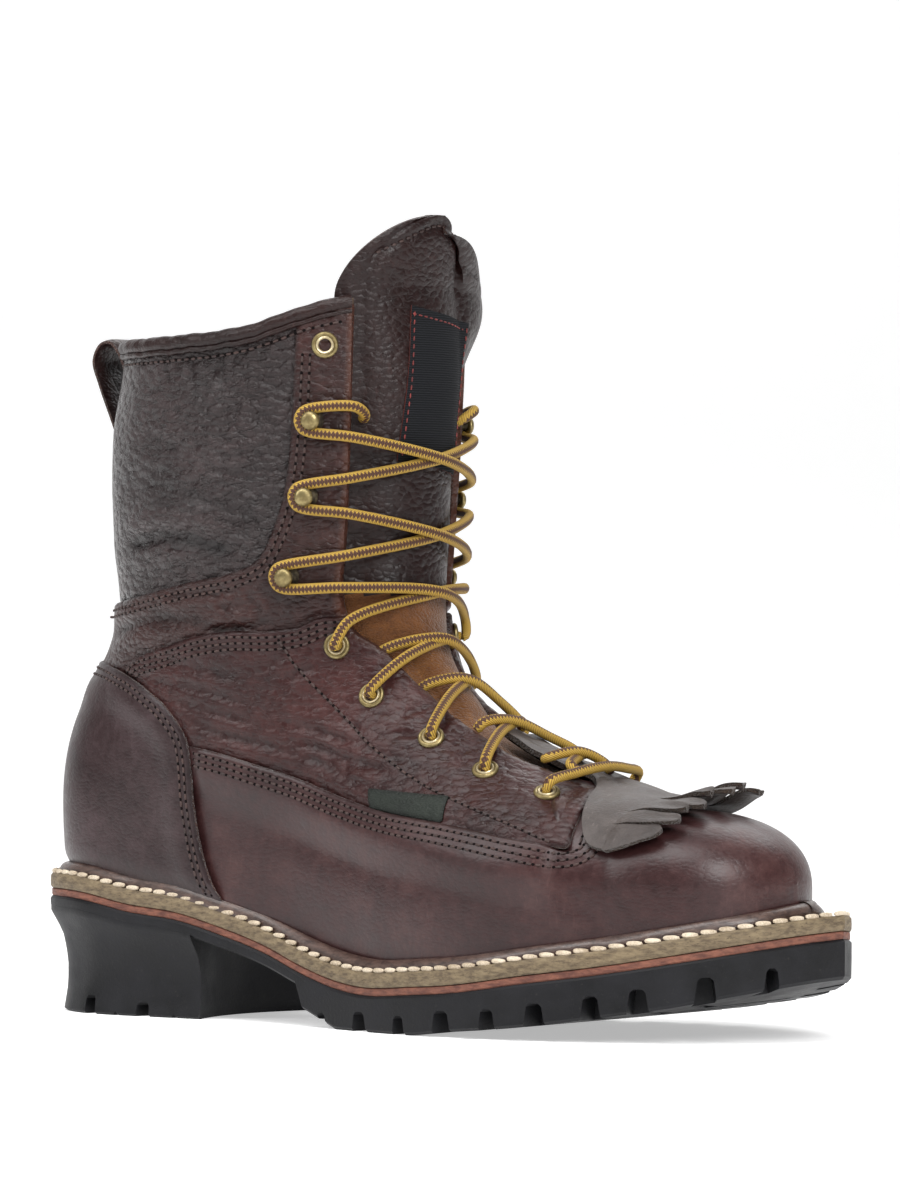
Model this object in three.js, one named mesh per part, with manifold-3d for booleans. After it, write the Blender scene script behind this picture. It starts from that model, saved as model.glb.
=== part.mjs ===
// Logger boot for the right foot. Millimetres, +X to the toe, +Y to the inner side, +Z up.
import * as THREE from "three";
import { mergeVertices } from "three/addons/utils/BufferGeometryUtils.js";
import Module from "manifold-3d";

const wasm = await Module();
wasm.setup();

// Sole sizes
const soleLength = 308;
const ballWidth = 110;
const heelSeatWidth = 75;
const heelHeight = 38;
const foreThickness = 11.5;
const shankThickness = 4;
const toeSpring = 20.2;
const heelLength = 86;
const heelUndercut = 5.9;
const breastHollow = 7;
const lugDepth = 6;
const midsoleThickness = 2.2;
const weltThickness = 4.7;
const lipHeight = 3.8;
const lipWidth = 3.9;
const insoleThickness = 3.5;

// Upper sizes
const instepHeight = 112;
const shaftHeight = 175.6;
const shaftDepth = 118;
const shaftWidth = 92;
const toeReach = 44.5;
const heelReach = 33.5;
const wall = 2.4;
const panelThickness = 1.6;
const bindingHeight = 8;
const backstayWidth = 22;
const loopWidth = 20;
const loopThickness = 2.4;
const loopReach = 16;
const tongueThickness = 3;
const tongueRise = 26;
const kiltieThickness = 1.8;
const patchThickness = 0.8;

// Metal and lace sizes
const eyeletRadius = 4.25;
const eyeletBore = 2.3;
const eyeletBarrel = 2.8;
const eyeletRim = 1;
const hookBaseRadius = 3.6;
const hookBase = 0.8;
const hookStemRadius = 1.7;
const hookStem = 4.7;
const hookHeadRadius = 2.9;
const hookHead = 1.5;
const laceRadius = 2;

// Clearance between pieces that meet, and extra room where bent sheets lie over each other
const gap = 0.3;
const metalSlack = 0.2;
const patchSlack = 0.1;
const kiltieSlack = 0.5;
const tongueSlack = 0.6;
const laceClearance = 0.4;

// Numbers of stations along and around the form
const toeStations = 7;
const fanStations = 8;
const shaftStations = 4;
const aroundForm = 20;
const soleSteps = 17;
const planSteps = 44;
const metalSides = 8;
const laceSides = 6;

// A smooth curve through one column of a table whose first column rises
function curveOf(rows, index) {
  const x = rows.map((row) => row[0]);
  const y = rows.map((row) => row[index]);
  const last = x.length - 1;
  const rise = x.slice(1).map((next, i) => (y[i + 1] - y[i]) / (next - x[i]));
  const slope = x.map((here, i) => {
    if (i === 0) return rise[0];
    if (i === last) return rise[last - 1];
    const before = here - x[i - 1];
    const after = x[i + 1] - here;
    return (after * rise[i - 1] + before * rise[i]) / (before + after);
  });
  return (value) => {
    const at = Math.min(Math.max(value, x[0]), x[last]);
    let i = 0;
    while (i < last - 1 && at >= x[i + 1]) i++;
    const span = x[i + 1] - x[i];
    const t = (at - x[i]) / span;
    const rest = 1 - t;
    return (
      rest * rest * ((1 + 2 * t) * y[i] + t * span * slope[i]) +
      t * t * ((1 + 2 * rest) * y[i + 1] - rest * span * slope[i + 1])
    );
  };
}

// Top of the rubber: share of the length, of the heel's rise, of the toe spring
const seatRows = [
  [0, 1, 0],
  [0.115, 0.985, 0],
  [0.18, 0.86, 0],
  [0.25, 0.77, 0],
  [0.305, 0.62, 0],
  [0.37, 0.415, 0],
  [0.42, 0.215, 0],
  [0.477, 0.055, 0],
  [0.52, 0, 0],
  [0.6, 0, 0.055],
  [0.65, 0, 0.11],
  [0.745, 0, 0.31],
  [0.825, 0, 0.475],
  [0.893, 0, 0.653],
  [0.951, 0, 0.83],
  [1, 0, 1],
];
const seatHeelShare = curveOf(seatRows, 1);
const seatSpringShare = curveOf(seatRows, 2);
function rubberTop(x) {
  const share = x / soleLength;
  const heelRise = heelHeight - foreThickness;
  return foreThickness + seatHeelShare(share) * heelRise + seatSpringShare(share) * toeSpring;
}
const midsoleTop = (x) => rubberTop(x) + gap + midsoleThickness;
const weltTop = (x) => midsoleTop(x) + gap + weltThickness;
const lipTop = (x) => weltTop(x) + lipHeight;

// Tread: share of the length, share of the toe spring
const treadRows = [
  [0.48, 0],
  [0.6, 0],
  [0.65, 0.085],
  [0.7, 0.15],
  [0.745, 0.22],
  [0.825, 0.39],
  [0.893, 0.56],
  [0.95, 0.76],
  [1, 0.955],
];
const treadShare = curveOf(treadRows, 1);
const treadZ = (x) => Math.max(treadShare(x / soleLength), 0) * toeSpring;

// Plan of the sole: share of the length, width it follows, share of half that width
const outerEdgeRows = [
  [0.02, heelSeatWidth, 0.45],
  [0.05, heelSeatWidth, 0.72],
  [0.1, heelSeatWidth, 0.93],
  [0.15, heelSeatWidth, 0.99],
  [0.245, heelSeatWidth, 0.99],
  [0.34, heelSeatWidth, 1],
  [0.42, ballWidth, 0.745],
  [0.49, ballWidth, 0.84],
  [0.55, ballWidth, 0.935],
  [0.617, ballWidth, 1.01],
  [0.68, ballWidth, 1.036],
  [0.747, ballWidth, 1.018],
  [0.81, ballWidth, 0.945],
  [0.877, ballWidth, 0.8],
  [0.925, ballWidth, 0.62],
  [0.962, ballWidth, 0.41],
  [0.987, ballWidth, 0.16],
];
const innerEdgeRows = [
  [0.987, ballWidth, 0.29],
  [0.955, ballWidth, 0.49],
  [0.91, ballWidth, 0.72],
  [0.845, ballWidth, 0.88],
  [0.78, ballWidth, 0.955],
  [0.73, ballWidth, 0.965],
  [0.68, ballWidth, 0.925],
  [0.617, ballWidth, 0.82],
  [0.55, ballWidth, 0.675],
  [0.49, ballWidth, 0.565],
  [0.42, ballWidth, 0.53],
  [0.34, heelSeatWidth, 0.83],
  [0.245, heelSeatWidth, 0.93],
  [0.15, heelSeatWidth, 0.99],
  [0.1, heelSeatWidth, 0.93],
  [0.05, heelSeatWidth, 0.72],
  [0.02, heelSeatWidth, 0.45],
];
const toeTipShare = 0.11;
const edgePoint = (row, side) =>
  new THREE.Vector3(row[0] * soleLength, (side * row[2] * row[1]) / 2, 0);
const planCurve = new THREE.CatmullRomCurve3(
  [
    new THREE.Vector3(0, 0, 0),
    ...outerEdgeRows.map((row) => edgePoint(row, -1)),
    new THREE.Vector3(soleLength, (toeTipShare * ballWidth) / 2, 0),
    ...innerEdgeRows.map((row) => edgePoint(row, 1)),
  ],
  true,
  "centripetal",
);
const planPoints = planCurve.getSpacedPoints(planSteps).slice(0, -1);

// Inward direction of the plan at one of its points
function inwardAt(i) {
  const count = planPoints.length;
  const before = planPoints[(i + count - 1) % count];
  const after = planPoints[(i + 1) % count];
  const along = new THREE.Vector3().subVectors(after, before).normalize();
  return new THREE.Vector3(-along.y, along.x, 0);
}
const planInset = (inset) =>
  planPoints.map((point, i) => point.clone().addScaledVector(inwardAt(i), inset));

// Foot part of the form: share of the length, width it follows, outer and inner share of half
// that width, height of the widest line and of the top as shares of the instep, squareness
const footTable = [
  [0.14, heelSeatWidth, 0.867, 0.867, 0.3, 0.72, 2.15],
  [0.243, heelSeatWidth, 0.893, 0.84, 0.303, 0.91, 2.1],
  [0.341, heelSeatWidth, 0.92, 0.76, 0.303, 1.07, 2.0],
  [0.422, ballWidth, 0.673, 0.5, 0.293, 1.105, 1.9],
  [0.487, ballWidth, 0.745, 0.527, 0.28, 0.995, 1.9],
  [0.552, ballWidth, 0.836, 0.6, 0.262, 0.833, 1.95],
  [0.617, ballWidth, 0.9, 0.69, 0.24, 0.7, 2.0],
  [0.682, ballWidth, 0.918, 0.755, 0.232, 0.607, 2.1],
  [0.747, ballWidth, 0.864, 0.736, 0.225, 0.52, 2.25],
  [0.812, ballWidth, 0.745, 0.645, 0.228, 0.45, 2.35],
];
const footRows = footTable.map(([along, width, outer, inner, widest, top, power]) => {
  const x = along * soleLength;
  const seat = rubberTop(x);
  const half = width / 2;
  return [x, outer * half, inner * half, seat + widest * instepHeight, seat + top * instepHeight, power];
});
const outerHalf = curveOf(footRows, 1);
const innerHalf = curveOf(footRows, 2);
const widestZ = curveOf(footRows, 3);
const crownZ = curveOf(footRows, 4);
const squareness = curveOf(footRows, 5);
const heelStation = footRows[0][0];
const toeStation = footRows[footRows.length - 1][0];
const toeTip = toeStation + toeReach;
const capPower = 2.05;
const footDrop = 0.625 * instepHeight;

// Shaft part of the form: share of the shaft height, back as a share of the length, depth as a
// share of the shaft depth, half width as a share of half the shaft width
const heelSeatZ = heelHeight + midsoleThickness + weltThickness;
const shaftTable = [
  [0.085, 0.078, 0.983, 0.696],
  [0.256, 0.0877, 1.008, 0.761],
  [0.427, 0.1023, 0.996, 0.837],
  [0.598, 0.1088, 0.996, 0.924],
  [0.769, 0.1104, 1, 0.978],
  [0.94, 0.12, 0.983, 1],
  [1.111, 0.133, 0.958, 1.01],
];
const shaftZ = (share) => heelSeatZ + share * shaftHeight;
const shaftRows = shaftTable.map(([up, back, depth, half]) => [
  shaftZ(up),
  back * soleLength,
  back * soleLength + depth * shaftDepth,
  (half * shaftWidth) / 2,
]);
const shaftBack = curveOf(shaftRows, 1);
const shaftFront = curveOf(shaftRows, 2);
const shaftHalf = curveOf(shaftRows, 3);
const shaftPower = 2.2;

// Half widths that turn the two shape functions into lengths, and the width of their blend
const footScale = 0.336 * ballWidth;
const shaftScale = 0.52 * shaftWidth;
const blendWidth = 16;

// Below zero inside the form, above zero outside it
function field(x, y, z) {
  const at = Math.min(Math.max(x, heelStation), toeStation);
  let past = 0;
  if (x > toeStation) past = (x - toeStation) / toeReach;
  if (x < heelStation) past = (heelStation - x) / heelReach;
  const half = (outerHalf(at) + innerHalf(at)) / 2;
  const centre = (innerHalf(at) - outerHalf(at)) / 2;
  const side = Math.abs(y - centre) / half;
  const flat = (past ** capPower + side ** capPower) ** (1 / capPower);
  const middle = widestZ(at);
  const drop = z > middle ? (z - middle) / (crownZ(at) - middle) : (middle - z) / footDrop;
  const power = squareness(at);
  const foot = ((flat ** power + drop ** power) ** (1 / power) - 1) * footScale;
  const back = shaftBack(z);
  const front = shaftFront(z);
  const along = Math.abs(x - (back + front) / 2) / ((front - back) / 2);
  const across = Math.abs(y) / shaftHalf(z);
  const oval = (along ** shaftPower + across ** shaftPower) ** (1 / shaftPower);
  const shaft = (oval - 1) * shaftScale;
  const mix = Math.min(Math.max(0.5 + (shaft - foot) / (2 * blendWidth), 0), 1);
  return shaft * (1 - mix) + foot * mix - blendWidth * mix * (1 - mix);
}

// Outward direction of the form at a point
function normalAt(p) {
  const step = 0.05;
  return new THREE.Vector3(
    field(p.x + step, p.y, p.z) - field(p.x - step, p.y, p.z),
    field(p.x, p.y + step, p.z) - field(p.x, p.y - step, p.z),
    field(p.x, p.y, p.z + step) - field(p.x, p.y, p.z - step),
  ).normalize();
}

// Section planes: across the foot at stations 0 to 1, turning round the ankle to 2, then up the shaft
const pivotX = 0.61 * soleLength;
const pivotZ = shaftZ(0.587);
const ankleReach = 0.28 * soleLength;
const shaftReach = 0.312 * soleLength;
const formTop = shaftZ(1.095);
const toeSpacing = 0.9;
const poleInset = 0.15;
function planeAt(station) {
  if (station <= 1) {
    const span = toeTip - poleInset - pivotX;
    const share = (1 - Math.cos((station * Math.PI) / 2)) ** toeSpacing;
    const x = toeTip - poleInset - span * share;
    const lift = 0.03 * instepHeight + 0.15 * instepHeight * share ** 1.5;
    return { x, z: widestZ(x) + lift, ex: 0, ez: 1 };
  }
  if (station <= 2) {
    const turn = ((station - 1) * Math.PI) / 2;
    const reach = ankleReach + (shaftReach - ankleReach) * (station - 1);
    const ex = Math.sin(turn);
    const ez = Math.cos(turn);
    return { x: pivotX - reach * ex, z: pivotZ - reach * ez, ex, ez };
  }
  return { x: pivotX - shaftReach, z: pivotZ + (station - 2) * (formTop - pivotZ), ex: 1, ez: 0 };
}

// Station of the plane that holds a point given in side view
function stationOf(x, z) {
  if (x >= pivotX) {
    const share = (toeTip - poleInset - x) / (toeTip - poleInset - pivotX);
    return (Math.acos(1 - share ** (1 / toeSpacing)) * 2) / Math.PI;
  }
  if (z <= pivotZ) return 1 + (Math.atan2(pivotX - x, pivotZ - z) * 2) / Math.PI;
  return 2 + (z - pivotZ) / (formTop - pivotZ);
}

// Point of the form on a plane, at an angle from its front or top, towards the inner side
function formPoint(station, angle) {
  const { x, z, ex, ez } = planeAt(station);
  const dx = ex * Math.cos(angle);
  const dz = ez * Math.cos(angle);
  const dy = Math.sin(angle);
  let low = 0;
  let high = soleLength / 2;
  for (let i = 0; i < 34; i++) {
    const middle = (low + high) / 2;
    if (field(x + dx * middle, dy * middle, z + dz * middle) < 0) low = middle;
    else high = middle;
  }
  return new THREE.Vector3(x + dx * low, dy * low, z + dz * low);
}

// Point on the front or top of the form at a given y, raised by lift
function frontPoint(station, y, lift) {
  let low = 0;
  let high = Math.PI / 2;
  for (let i = 0; i < 24; i++) {
    const middle = (low + high) / 2;
    if (formPoint(station, middle * Math.sign(y || 1)).y * Math.sign(y || 1) < Math.abs(y)) low = middle;
    else high = middle;
  }
  const point = formPoint(station, low * Math.sign(y || 1));
  return point.addScaledVector(normalAt(point), lift);
}

// Closed geometry as a solid, turned outwards
function solidOf(geometry) {
  const bare = geometry.index ? geometry : geometry.clone();
  bare.deleteAttribute("normal");
  bare.deleteAttribute("uv");
  const merged = mergeVertices(bare, 1e-4);
  const make = (triVerts) =>
    new wasm.Manifold(
      new wasm.Mesh({
        numProp: 3,
        vertProperties: new Float32Array(merged.attributes.position.array),
        triVerts,
      }),
    );
  const triVerts = new Uint32Array(merged.index.array);
  const made = make(triVerts);
  if (made.volume() > 0) return made;
  return make(triVerts.slice().reverse());
}

function geometryOf(points, faces) {
  const geometry = new THREE.BufferGeometry();
  geometry.setAttribute(
    "position",
    new THREE.BufferAttribute(new Float32Array(points.flatMap((p) => [p.x, p.y, p.z])), 3),
  );
  geometry.setIndex(faces.flat());
  return geometry;
}

// Closed solid from rings of equal count, each end closed by a fan round its middle
function ringSolid(rings) {
  const count = rings[0].length;
  const points = rings.flat();
  const faces = [];
  for (let i = 0; i < rings.length - 1; i++) {
    for (let j = 0; j < count; j++) {
      const k = (j + 1) % count;
      const a = i * count + j;
      const b = i * count + k;
      faces.push([a, b, b + count], [a, b + count, a + count]);
    }
  }
  [rings[0], rings[rings.length - 1]].forEach((ring, end) => {
    const middle = ring
      .reduce((sum, p) => sum.add(p), new THREE.Vector3())
      .divideScalar(count);
    const start = end ? (rings.length - 1) * count : 0;
    points.push(middle);
    for (let j = 0; j < count; j++) {
      const k = (j + 1) % count;
      const pair = end ? [start + j, start + k] : [start + k, start + j];
      faces.push([...pair, points.length - 1]);
    }
  });
  return solidOf(geometryOf(points, faces));
}

// Closed sheet between an upper and a lower grid of points
function sheetSolid(upper, lower) {
  const rows = upper.length;
  const columns = upper[0].length;
  const points = [...upper.flat(), ...lower.flat()];
  const below = rows * columns;
  const faces = [];
  const at = (i, j) => i * columns + j;
  for (let i = 0; i < rows - 1; i++) {
    for (let j = 0; j < columns - 1; j++) {
      const [a, b, c, d] = [at(i, j), at(i, j + 1), at(i + 1, j + 1), at(i + 1, j)];
      faces.push([a, b, c], [a, c, d]);
      faces.push([a + below, c + below, b + below], [a + below, d + below, c + below]);
    }
  }
  const wallBetween = (a, b) => faces.push([b, a, a + below], [b, a + below, b + below]);
  for (let j = 0; j < columns - 1; j++) {
    wallBetween(at(0, j), at(0, j + 1));
    wallBetween(at(rows - 1, j + 1), at(rows - 1, j));
  }
  for (let i = 0; i < rows - 1; i++) {
    wallBetween(at(i + 1, 0), at(i, 0));
    wallBetween(at(i, columns - 1), at(i + 1, columns - 1));
  }
  return solidOf(geometryOf(points, faces));
}

// Prism of an outline in side view, between two distances from the middle
function sidePrism(outline, nearY, farY) {
  const shape = new THREE.Shape(outline.map(([x, z]) => new THREE.Vector2(x, z)));
  const geometry = new THREE.ExtrudeGeometry(shape, { depth: farY - nearY, bevelEnabled: false });
  geometry.rotateX(Math.PI / 2);
  geometry.translate(0, farY, 0);
  return solidOf(geometry);
}

// Prism of an outline in plan
function planPrism(outline, lowZ, highZ) {
  const shape = new THREE.Shape(outline.map((p) => new THREE.Vector2(p.x, p.y)));
  const geometry = new THREE.ExtrudeGeometry(shape, { depth: highZ - lowZ, bevelEnabled: false });
  geometry.translate(0, 0, lowZ);
  return solidOf(geometry);
}

// Layer between two heights that follow the sole
const farSide = ballWidth;
const aftOfHeel = -0.05 * soleLength;
const belowFloor = -1;
const aboveSeat = 2 * heelHeight;
const soleStations = Array.from({ length: soleSteps + 1 }, (_, i) => (i / soleSteps) * soleLength);
function layer(lowAt, highAt) {
  const beyond = [2 * aftOfHeel, ...soleStations, soleLength - 2 * aftOfHeel];
  const low = beyond.map((x) => [x, lowAt(Math.min(Math.max(x, 0), soleLength))]);
  const high = beyond.map((x) => [x, highAt(Math.min(Math.max(x, 0), soleLength))]);
  return sidePrism([...low, ...high.reverse()], -farSide, farSide);
}

// The whole form, grown outwards by an amount, open ended above the collar when it is hollowing
const formStations = [
  ...Array.from({ length: toeStations }, (_, i) => i / toeStations),
  ...Array.from({ length: fanStations }, (_, i) => 1 + i / fanStations),
  ...Array.from({ length: shaftStations + 1 }, (_, i) => 2 + i / shaftStations),
];
const formGrid = formStations.map((station) =>
  Array.from({ length: aroundForm }, (_, j) => {
    const point = formPoint(station, ((j + 0.5) * 2 * Math.PI) / aroundForm);
    return { point, normal: normalAt(point) };
  }),
);
const capRise = 3;
function form(grow, rise = 0) {
  const rings = formGrid.map((ring) =>
    ring.map(({ point, normal }) => point.clone().addScaledVector(normal, grow)),
  );
  const top = rings[rings.length - 1].map((p) => new THREE.Vector3(p.x, p.y, formTop + capRise + rise));
  return ringSolid([...rings, top]);
}

// Spots on the foot and on the shaft, as shares of the sizes that they follow
const footSpot = ([along, up]) => {
  const x = along * soleLength;
  return [x, rubberTop(x) + up * instepHeight];
};
const shaftSpot = ([along, up]) => {
  const z = shaftZ(up);
  return [shaftBack(z) + along * (shaftFront(z) - shaftBack(z)), z];
};

// Collar line, from the back to the front
const collarLine = [
  [-0.3, 0.998],
  [0.35, 0.998],
  [0.64, 1.014],
  [0.83, 1.055],
  [0.93, 1.07],
  [1.3, 1.072],
].map(shaftSpot);
const shifted = (line, up) => line.map(([x, z]) => [x, z + up]);
const closedAbove = (line) => [...line, [line[line.length - 1][0], formTop * 1.2], [line[0][0], formTop * 1.2]];
const aboveCollar = (up) => sidePrism(closedAbove(shifted(collarLine, up)), -farSide, farSide);

// Throat: station, half width as a share of the shaft width, middle as a share of the ball width
const throatRows = [
  [stationOf(...footSpot([0.738, 0.5])), 0.03, -0.05],
  [stationOf(...footSpot([0.732, 0.5])), 0.08, -0.052],
  [stationOf(...footSpot([0.715, 0.55])), 0.115, -0.054],
  [stationOf(...footSpot([0.675, 0.6])), 0.125, -0.055],
  [stationOf(...footSpot([0.595, 0.71])), 0.13, -0.055],
  [stationOf(...footSpot([0.525, 0.86])), 0.138, -0.053],
  [stationOf(...footSpot([0.485, 0.96])), 0.178, -0.048],
  [stationOf(...footSpot([0.457, 1.01])), 0.253, -0.03],
  [stationOf(...footSpot([0.448, 1.1])), 0.29, -0.012],
  [2.05, 0.304, 0],
  [2.5, 0.31, 0],
  [3, 0.315, 0],
];
const throatShare = curveOf(throatRows, 1);
const middleShare = curveOf(throatRows, 2);
const throatHalf = (station) => throatShare(station) * shaftWidth;
const middleY = (station) => middleShare(station) * ballWidth;
const throatStart = throatRows[0][0];
const throatStations = [
  ...throatRows.slice(0, 4).map((row) => row[0]),
  ...formStations.filter((s) => s > throatRows[3][0] + 0.03),
];
const cutDepth = 9;
function frontGrid(stations, edges, columns, liftAt) {
  return stations.map((station) => {
    const [from, to] = edges(station);
    return Array.from({ length: columns + 1 }, (_, j) => {
      const y = middleY(station) + from + ((to - from) * j) / columns;
      return frontPoint(station, y, liftAt(station));
    });
  });
}
function frontSheet(stations, edges, columns, lowLift, highLift) {
  return sheetSolid(
    frontGrid(stations, edges, columns, highLift),
    frontGrid(stations, edges, columns, lowLift),
  );
}
const throatCutter = frontSheet(
  [...throatStations, 3.2],
  (station) => [-throatHalf(station), throatHalf(station)],
  6,
  () => -cutDepth,
  () => cutDepth,
);

// Eyelets from the toe upwards, then hooks: station, distance from the middle of the throat as a
// share of the shaft width
const eyeletSpots = [
  [stationOf(...footSpot([0.712, 0.527])), 0.245],
  [stationOf(...footSpot([0.636, 0.607])), 0.25],
  [stationOf(...footSpot([0.565, 0.71])), 0.243],
  [stationOf(...footSpot([0.49, 0.835])), 0.24],
  [stationOf(...footSpot([0.443, 0.945])), 0.276],
  [2.783, 0.379],
];
const hookSpots = [
  [1.963, 0.394],
  [2.242, 0.397],
  [2.514, 0.395],
];
const panelTop = gap + panelThickness;
const metalLift = panelTop + gap + metalSlack;
const sides = { outer: -1, inner: 1 };

// Point over an eyelet or hook
const overSpot = ([station, spread], side, lift) =>
  frontPoint(station, middleY(station) + side * spread * shaftWidth, lift);

// Turns the +Z of a small piece to the form's normal at its spot
function placementOf(spot, side, lift) {
  const quaternion = new THREE.Quaternion().setFromUnitVectors(
    new THREE.Vector3(0, 0, 1),
    normalAt(overSpot(spot, side, 0)),
  );
  return { position: overSpot(spot, side, lift), quaternion };
}
const placed = (geometry, { position, quaternion }) =>
  geometry.applyMatrix4(new THREE.Matrix4().compose(position, quaternion, new THREE.Vector3(1, 1, 1)));
const holeRadius = (eyeletBarrel + gap) / Math.cos(Math.PI / metalSides);
const eyeletHoles = Object.values(sides).flatMap((side) =>
  eyeletSpots.map((spot) => {
    const drill = new THREE.CylinderGeometry(holeRadius, holeRadius, 4 * panelTop + 2 * wall, metalSides);
    drill.rotateX(Math.PI / 2);
    return solidOf(placed(drill, placementOf(spot, side, 0)));
  }),
);
const drilled = (solid) => eyeletHoles.reduce((rest, hole) => rest.subtract(hole), solid);

// Outsole: slab with the shank and forefoot, heel block, tread notches and grooves
const treadBack = 0.425 * soleLength;
const treadRamp = 0.055 * soleLength;
const treadStep = 1;
const stationRoom = 2;
function soleSlab() {
  const underShank = soleStations
    .filter((x) => x < treadBack - stationRoom)
    .map((x) => [x, rubberTop(x) - shankThickness]);
  const tread = soleStations
    .filter((x) => x > treadBack + treadRamp + stationRoom)
    .map((x) => [x, treadZ(x)]);
  const top = soleStations.map((x) => [x, rubberTop(x)]).reverse();
  const side = [
    ...underShank,
    [treadBack, rubberTop(treadBack) - shankThickness],
    [treadBack + treadStep, lugDepth],
    [treadBack + treadRamp, 0],
    ...tread,
    ...top,
  ];
  return sidePrism(side, -farSide, farSide).intersect(planPrism(planPoints, belowFloor, aboveSeat));
}
// Heel: share of its height, share of the undercut
const heelRows = [
  [0, 0.75],
  [0.04, 0.8],
  [0.2, 0.97],
  [0.42, 1],
  [0.6, 0.86],
  [0.76, 0.6],
  [0.9, 0.25],
  [1, 0.05],
];
const breastTopSetback = 3;
const breastCorner = 8;
const breastPoints = [0, 0.25, 0.5, 0.75, 1];
function heelBlock() {
  const count = planPoints.length;
  const start = planPoints.findIndex((p, i) => i > count / 2 && p.x < heelLength - breastCorner);
  const order = Array.from({ length: count }, (_, i) => (start + i) % count);
  const kept = order.slice(0, order.findIndex((i) => planPoints[i].y < 0 && planPoints[i].x > heelLength - breastCorner));
  const rings = heelRows.map(([up, cut]) => {
    const back = kept.map((i) => planPoints[i].clone().addScaledVector(inwardAt(i), cut * heelUndercut));
    const first = back[0];
    const last = back[back.length - 1];
    const breastX = heelLength - (up < 0.2 ? breastTopSetback : 0);
    const breast = breastPoints.map((share) => {
      const y = last.y + (first.y - last.y) * share;
      return new THREE.Vector3(breastX - breastHollow * 4 * share * (1 - share), y, 0);
    });
    const ring = [...back, ...breast];
    ring.forEach((p) => p.setZ(up * (rubberTop(p.x) - shankThickness / 4)));
    return ring;
  });
  return ringSolid(rings);
}
// Notch in from an edge: share of the length, width, reach inwards
const sideNotches = [
  [0.475, 4, 16],
  [0.522, 9, 14],
  [0.57, 4, 17],
  [0.622, 10, 14],
  [0.675, 4, 17],
  [0.73, 10, 14],
  [0.78, 4, 16],
  [0.832, 10, 13],
  [0.895, 9, 13],
  [0.95, 7, 12],
];
const heelNotches = [
  [0.055, 6, 15],
  [0.125, 3, 15],
  [0.18, 6, 16],
  [0.24, 3, 15],
];
function notch([along, width, reach], side) {
  const x = along * soleLength;
  const index = planPoints.reduce(
    (best, p, i) =>
      Math.sign(p.y) === side && Math.abs(p.x - x) < Math.abs(planPoints[best].x - x) ? i : best,
    side < 0 ? 4 : planPoints.length - 4,
  );
  const inward = inwardAt(index);
  const floor = treadZ(x) + lugDepth;
  const box = new THREE.BoxGeometry(2 * reach, width, floor + lugDepth);
  box.rotateZ(Math.atan2(inward.y, inward.x));
  const edge = planPoints[index];
  box.translate(x, edge.y + (x - edge.x) * (-inward.x / (inward.y || 1)), floor - (floor + lugDepth) / 2);
  return solidOf(box);
}
// Chevron groove across the middle of the forefoot: share of the length
const chevrons = [0.598, 0.65, 0.705, 0.757, 0.81, 0.865];
const grooveWidth = 3.5;
const grooveLean = 0.42;
const grooveLength = 0.2 * ballWidth;
const grooveSpread = 0.02 * ballWidth;
function chevron(along, side) {
  const x = along * soleLength;
  const floor = treadZ(x) + 0.85 * lugDepth;
  const box = new THREE.BoxGeometry(grooveWidth, grooveLength, floor + lugDepth);
  box.translate(0, (side * grooveLength) / 2, 0);
  box.rotateZ(side * grooveLean);
  box.translate(x, side * grooveSpread, floor - (floor + lugDepth) / 2);
  return solidOf(box);
}
function outsoleSolid() {
  const cutters = Object.values(sides).flatMap((side) => [
    ...sideNotches.map((row) => notch(row, side)),
    ...heelNotches.map((row) => notch(row, side)),
    ...chevrons.map((along) => chevron(along, side)),
  ]);
  return cutters.reduce((rest, cutter) => rest.subtract(cutter), soleSlab().add(heelBlock()));
}

const midsoleInset = 0.5;
const midsoleSolid = () =>
  layer((x) => rubberTop(x) + gap, midsoleTop).intersect(
    planPrism(planInset(midsoleInset), 0, aboveSeat),
  );
const outsideForm = form(gap);
const lipRoot = 1;
function weltSolid() {
  const strip = layer((x) => midsoleTop(x) + gap, weltTop).intersect(planPrism(planPoints, 0, aboveSeat));
  const lip = layer((x) => weltTop(x) - lipRoot, lipTop).intersect(form(gap + lipWidth));
  return strip.add(lip).subtract(outsideForm);
}
const hollow = form(-wall, capRise);
const insoleSolid = () =>
  layer((x) => midsoleTop(x) + gap, (x) => midsoleTop(x) + gap + insoleThickness).intersect(
    form(-wall - gap),
  );
const farBelow = -4 * heelHeight;
const belowUpper = layer(() => farBelow, (x) => midsoleTop(x) + gap);
const belowPanels = layer(() => farBelow, (x) => lipTop(x) + gap);
const upperSolid = () =>
  drilled(form(0).subtract(hollow).subtract(belowUpper).subtract(aboveCollar(0)).subtract(throatCutter));

// Panel laid on the upper inside an outline in side view
const panelShell = form(panelTop).subtract(outsideForm);
const panelOn = (outline, nearY, farY, shell = panelShell) =>
  shell
    .intersect(sidePrism(outline, nearY, farY))
    .subtract(belowPanels)
    .subtract(aboveCollar(0))
    .subtract(throatCutter);
const nearOf = (side, from) => (side < 0 ? -farSide : from);
const farOf = (side, from) => (side < 0 ? -from : farSide);

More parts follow.
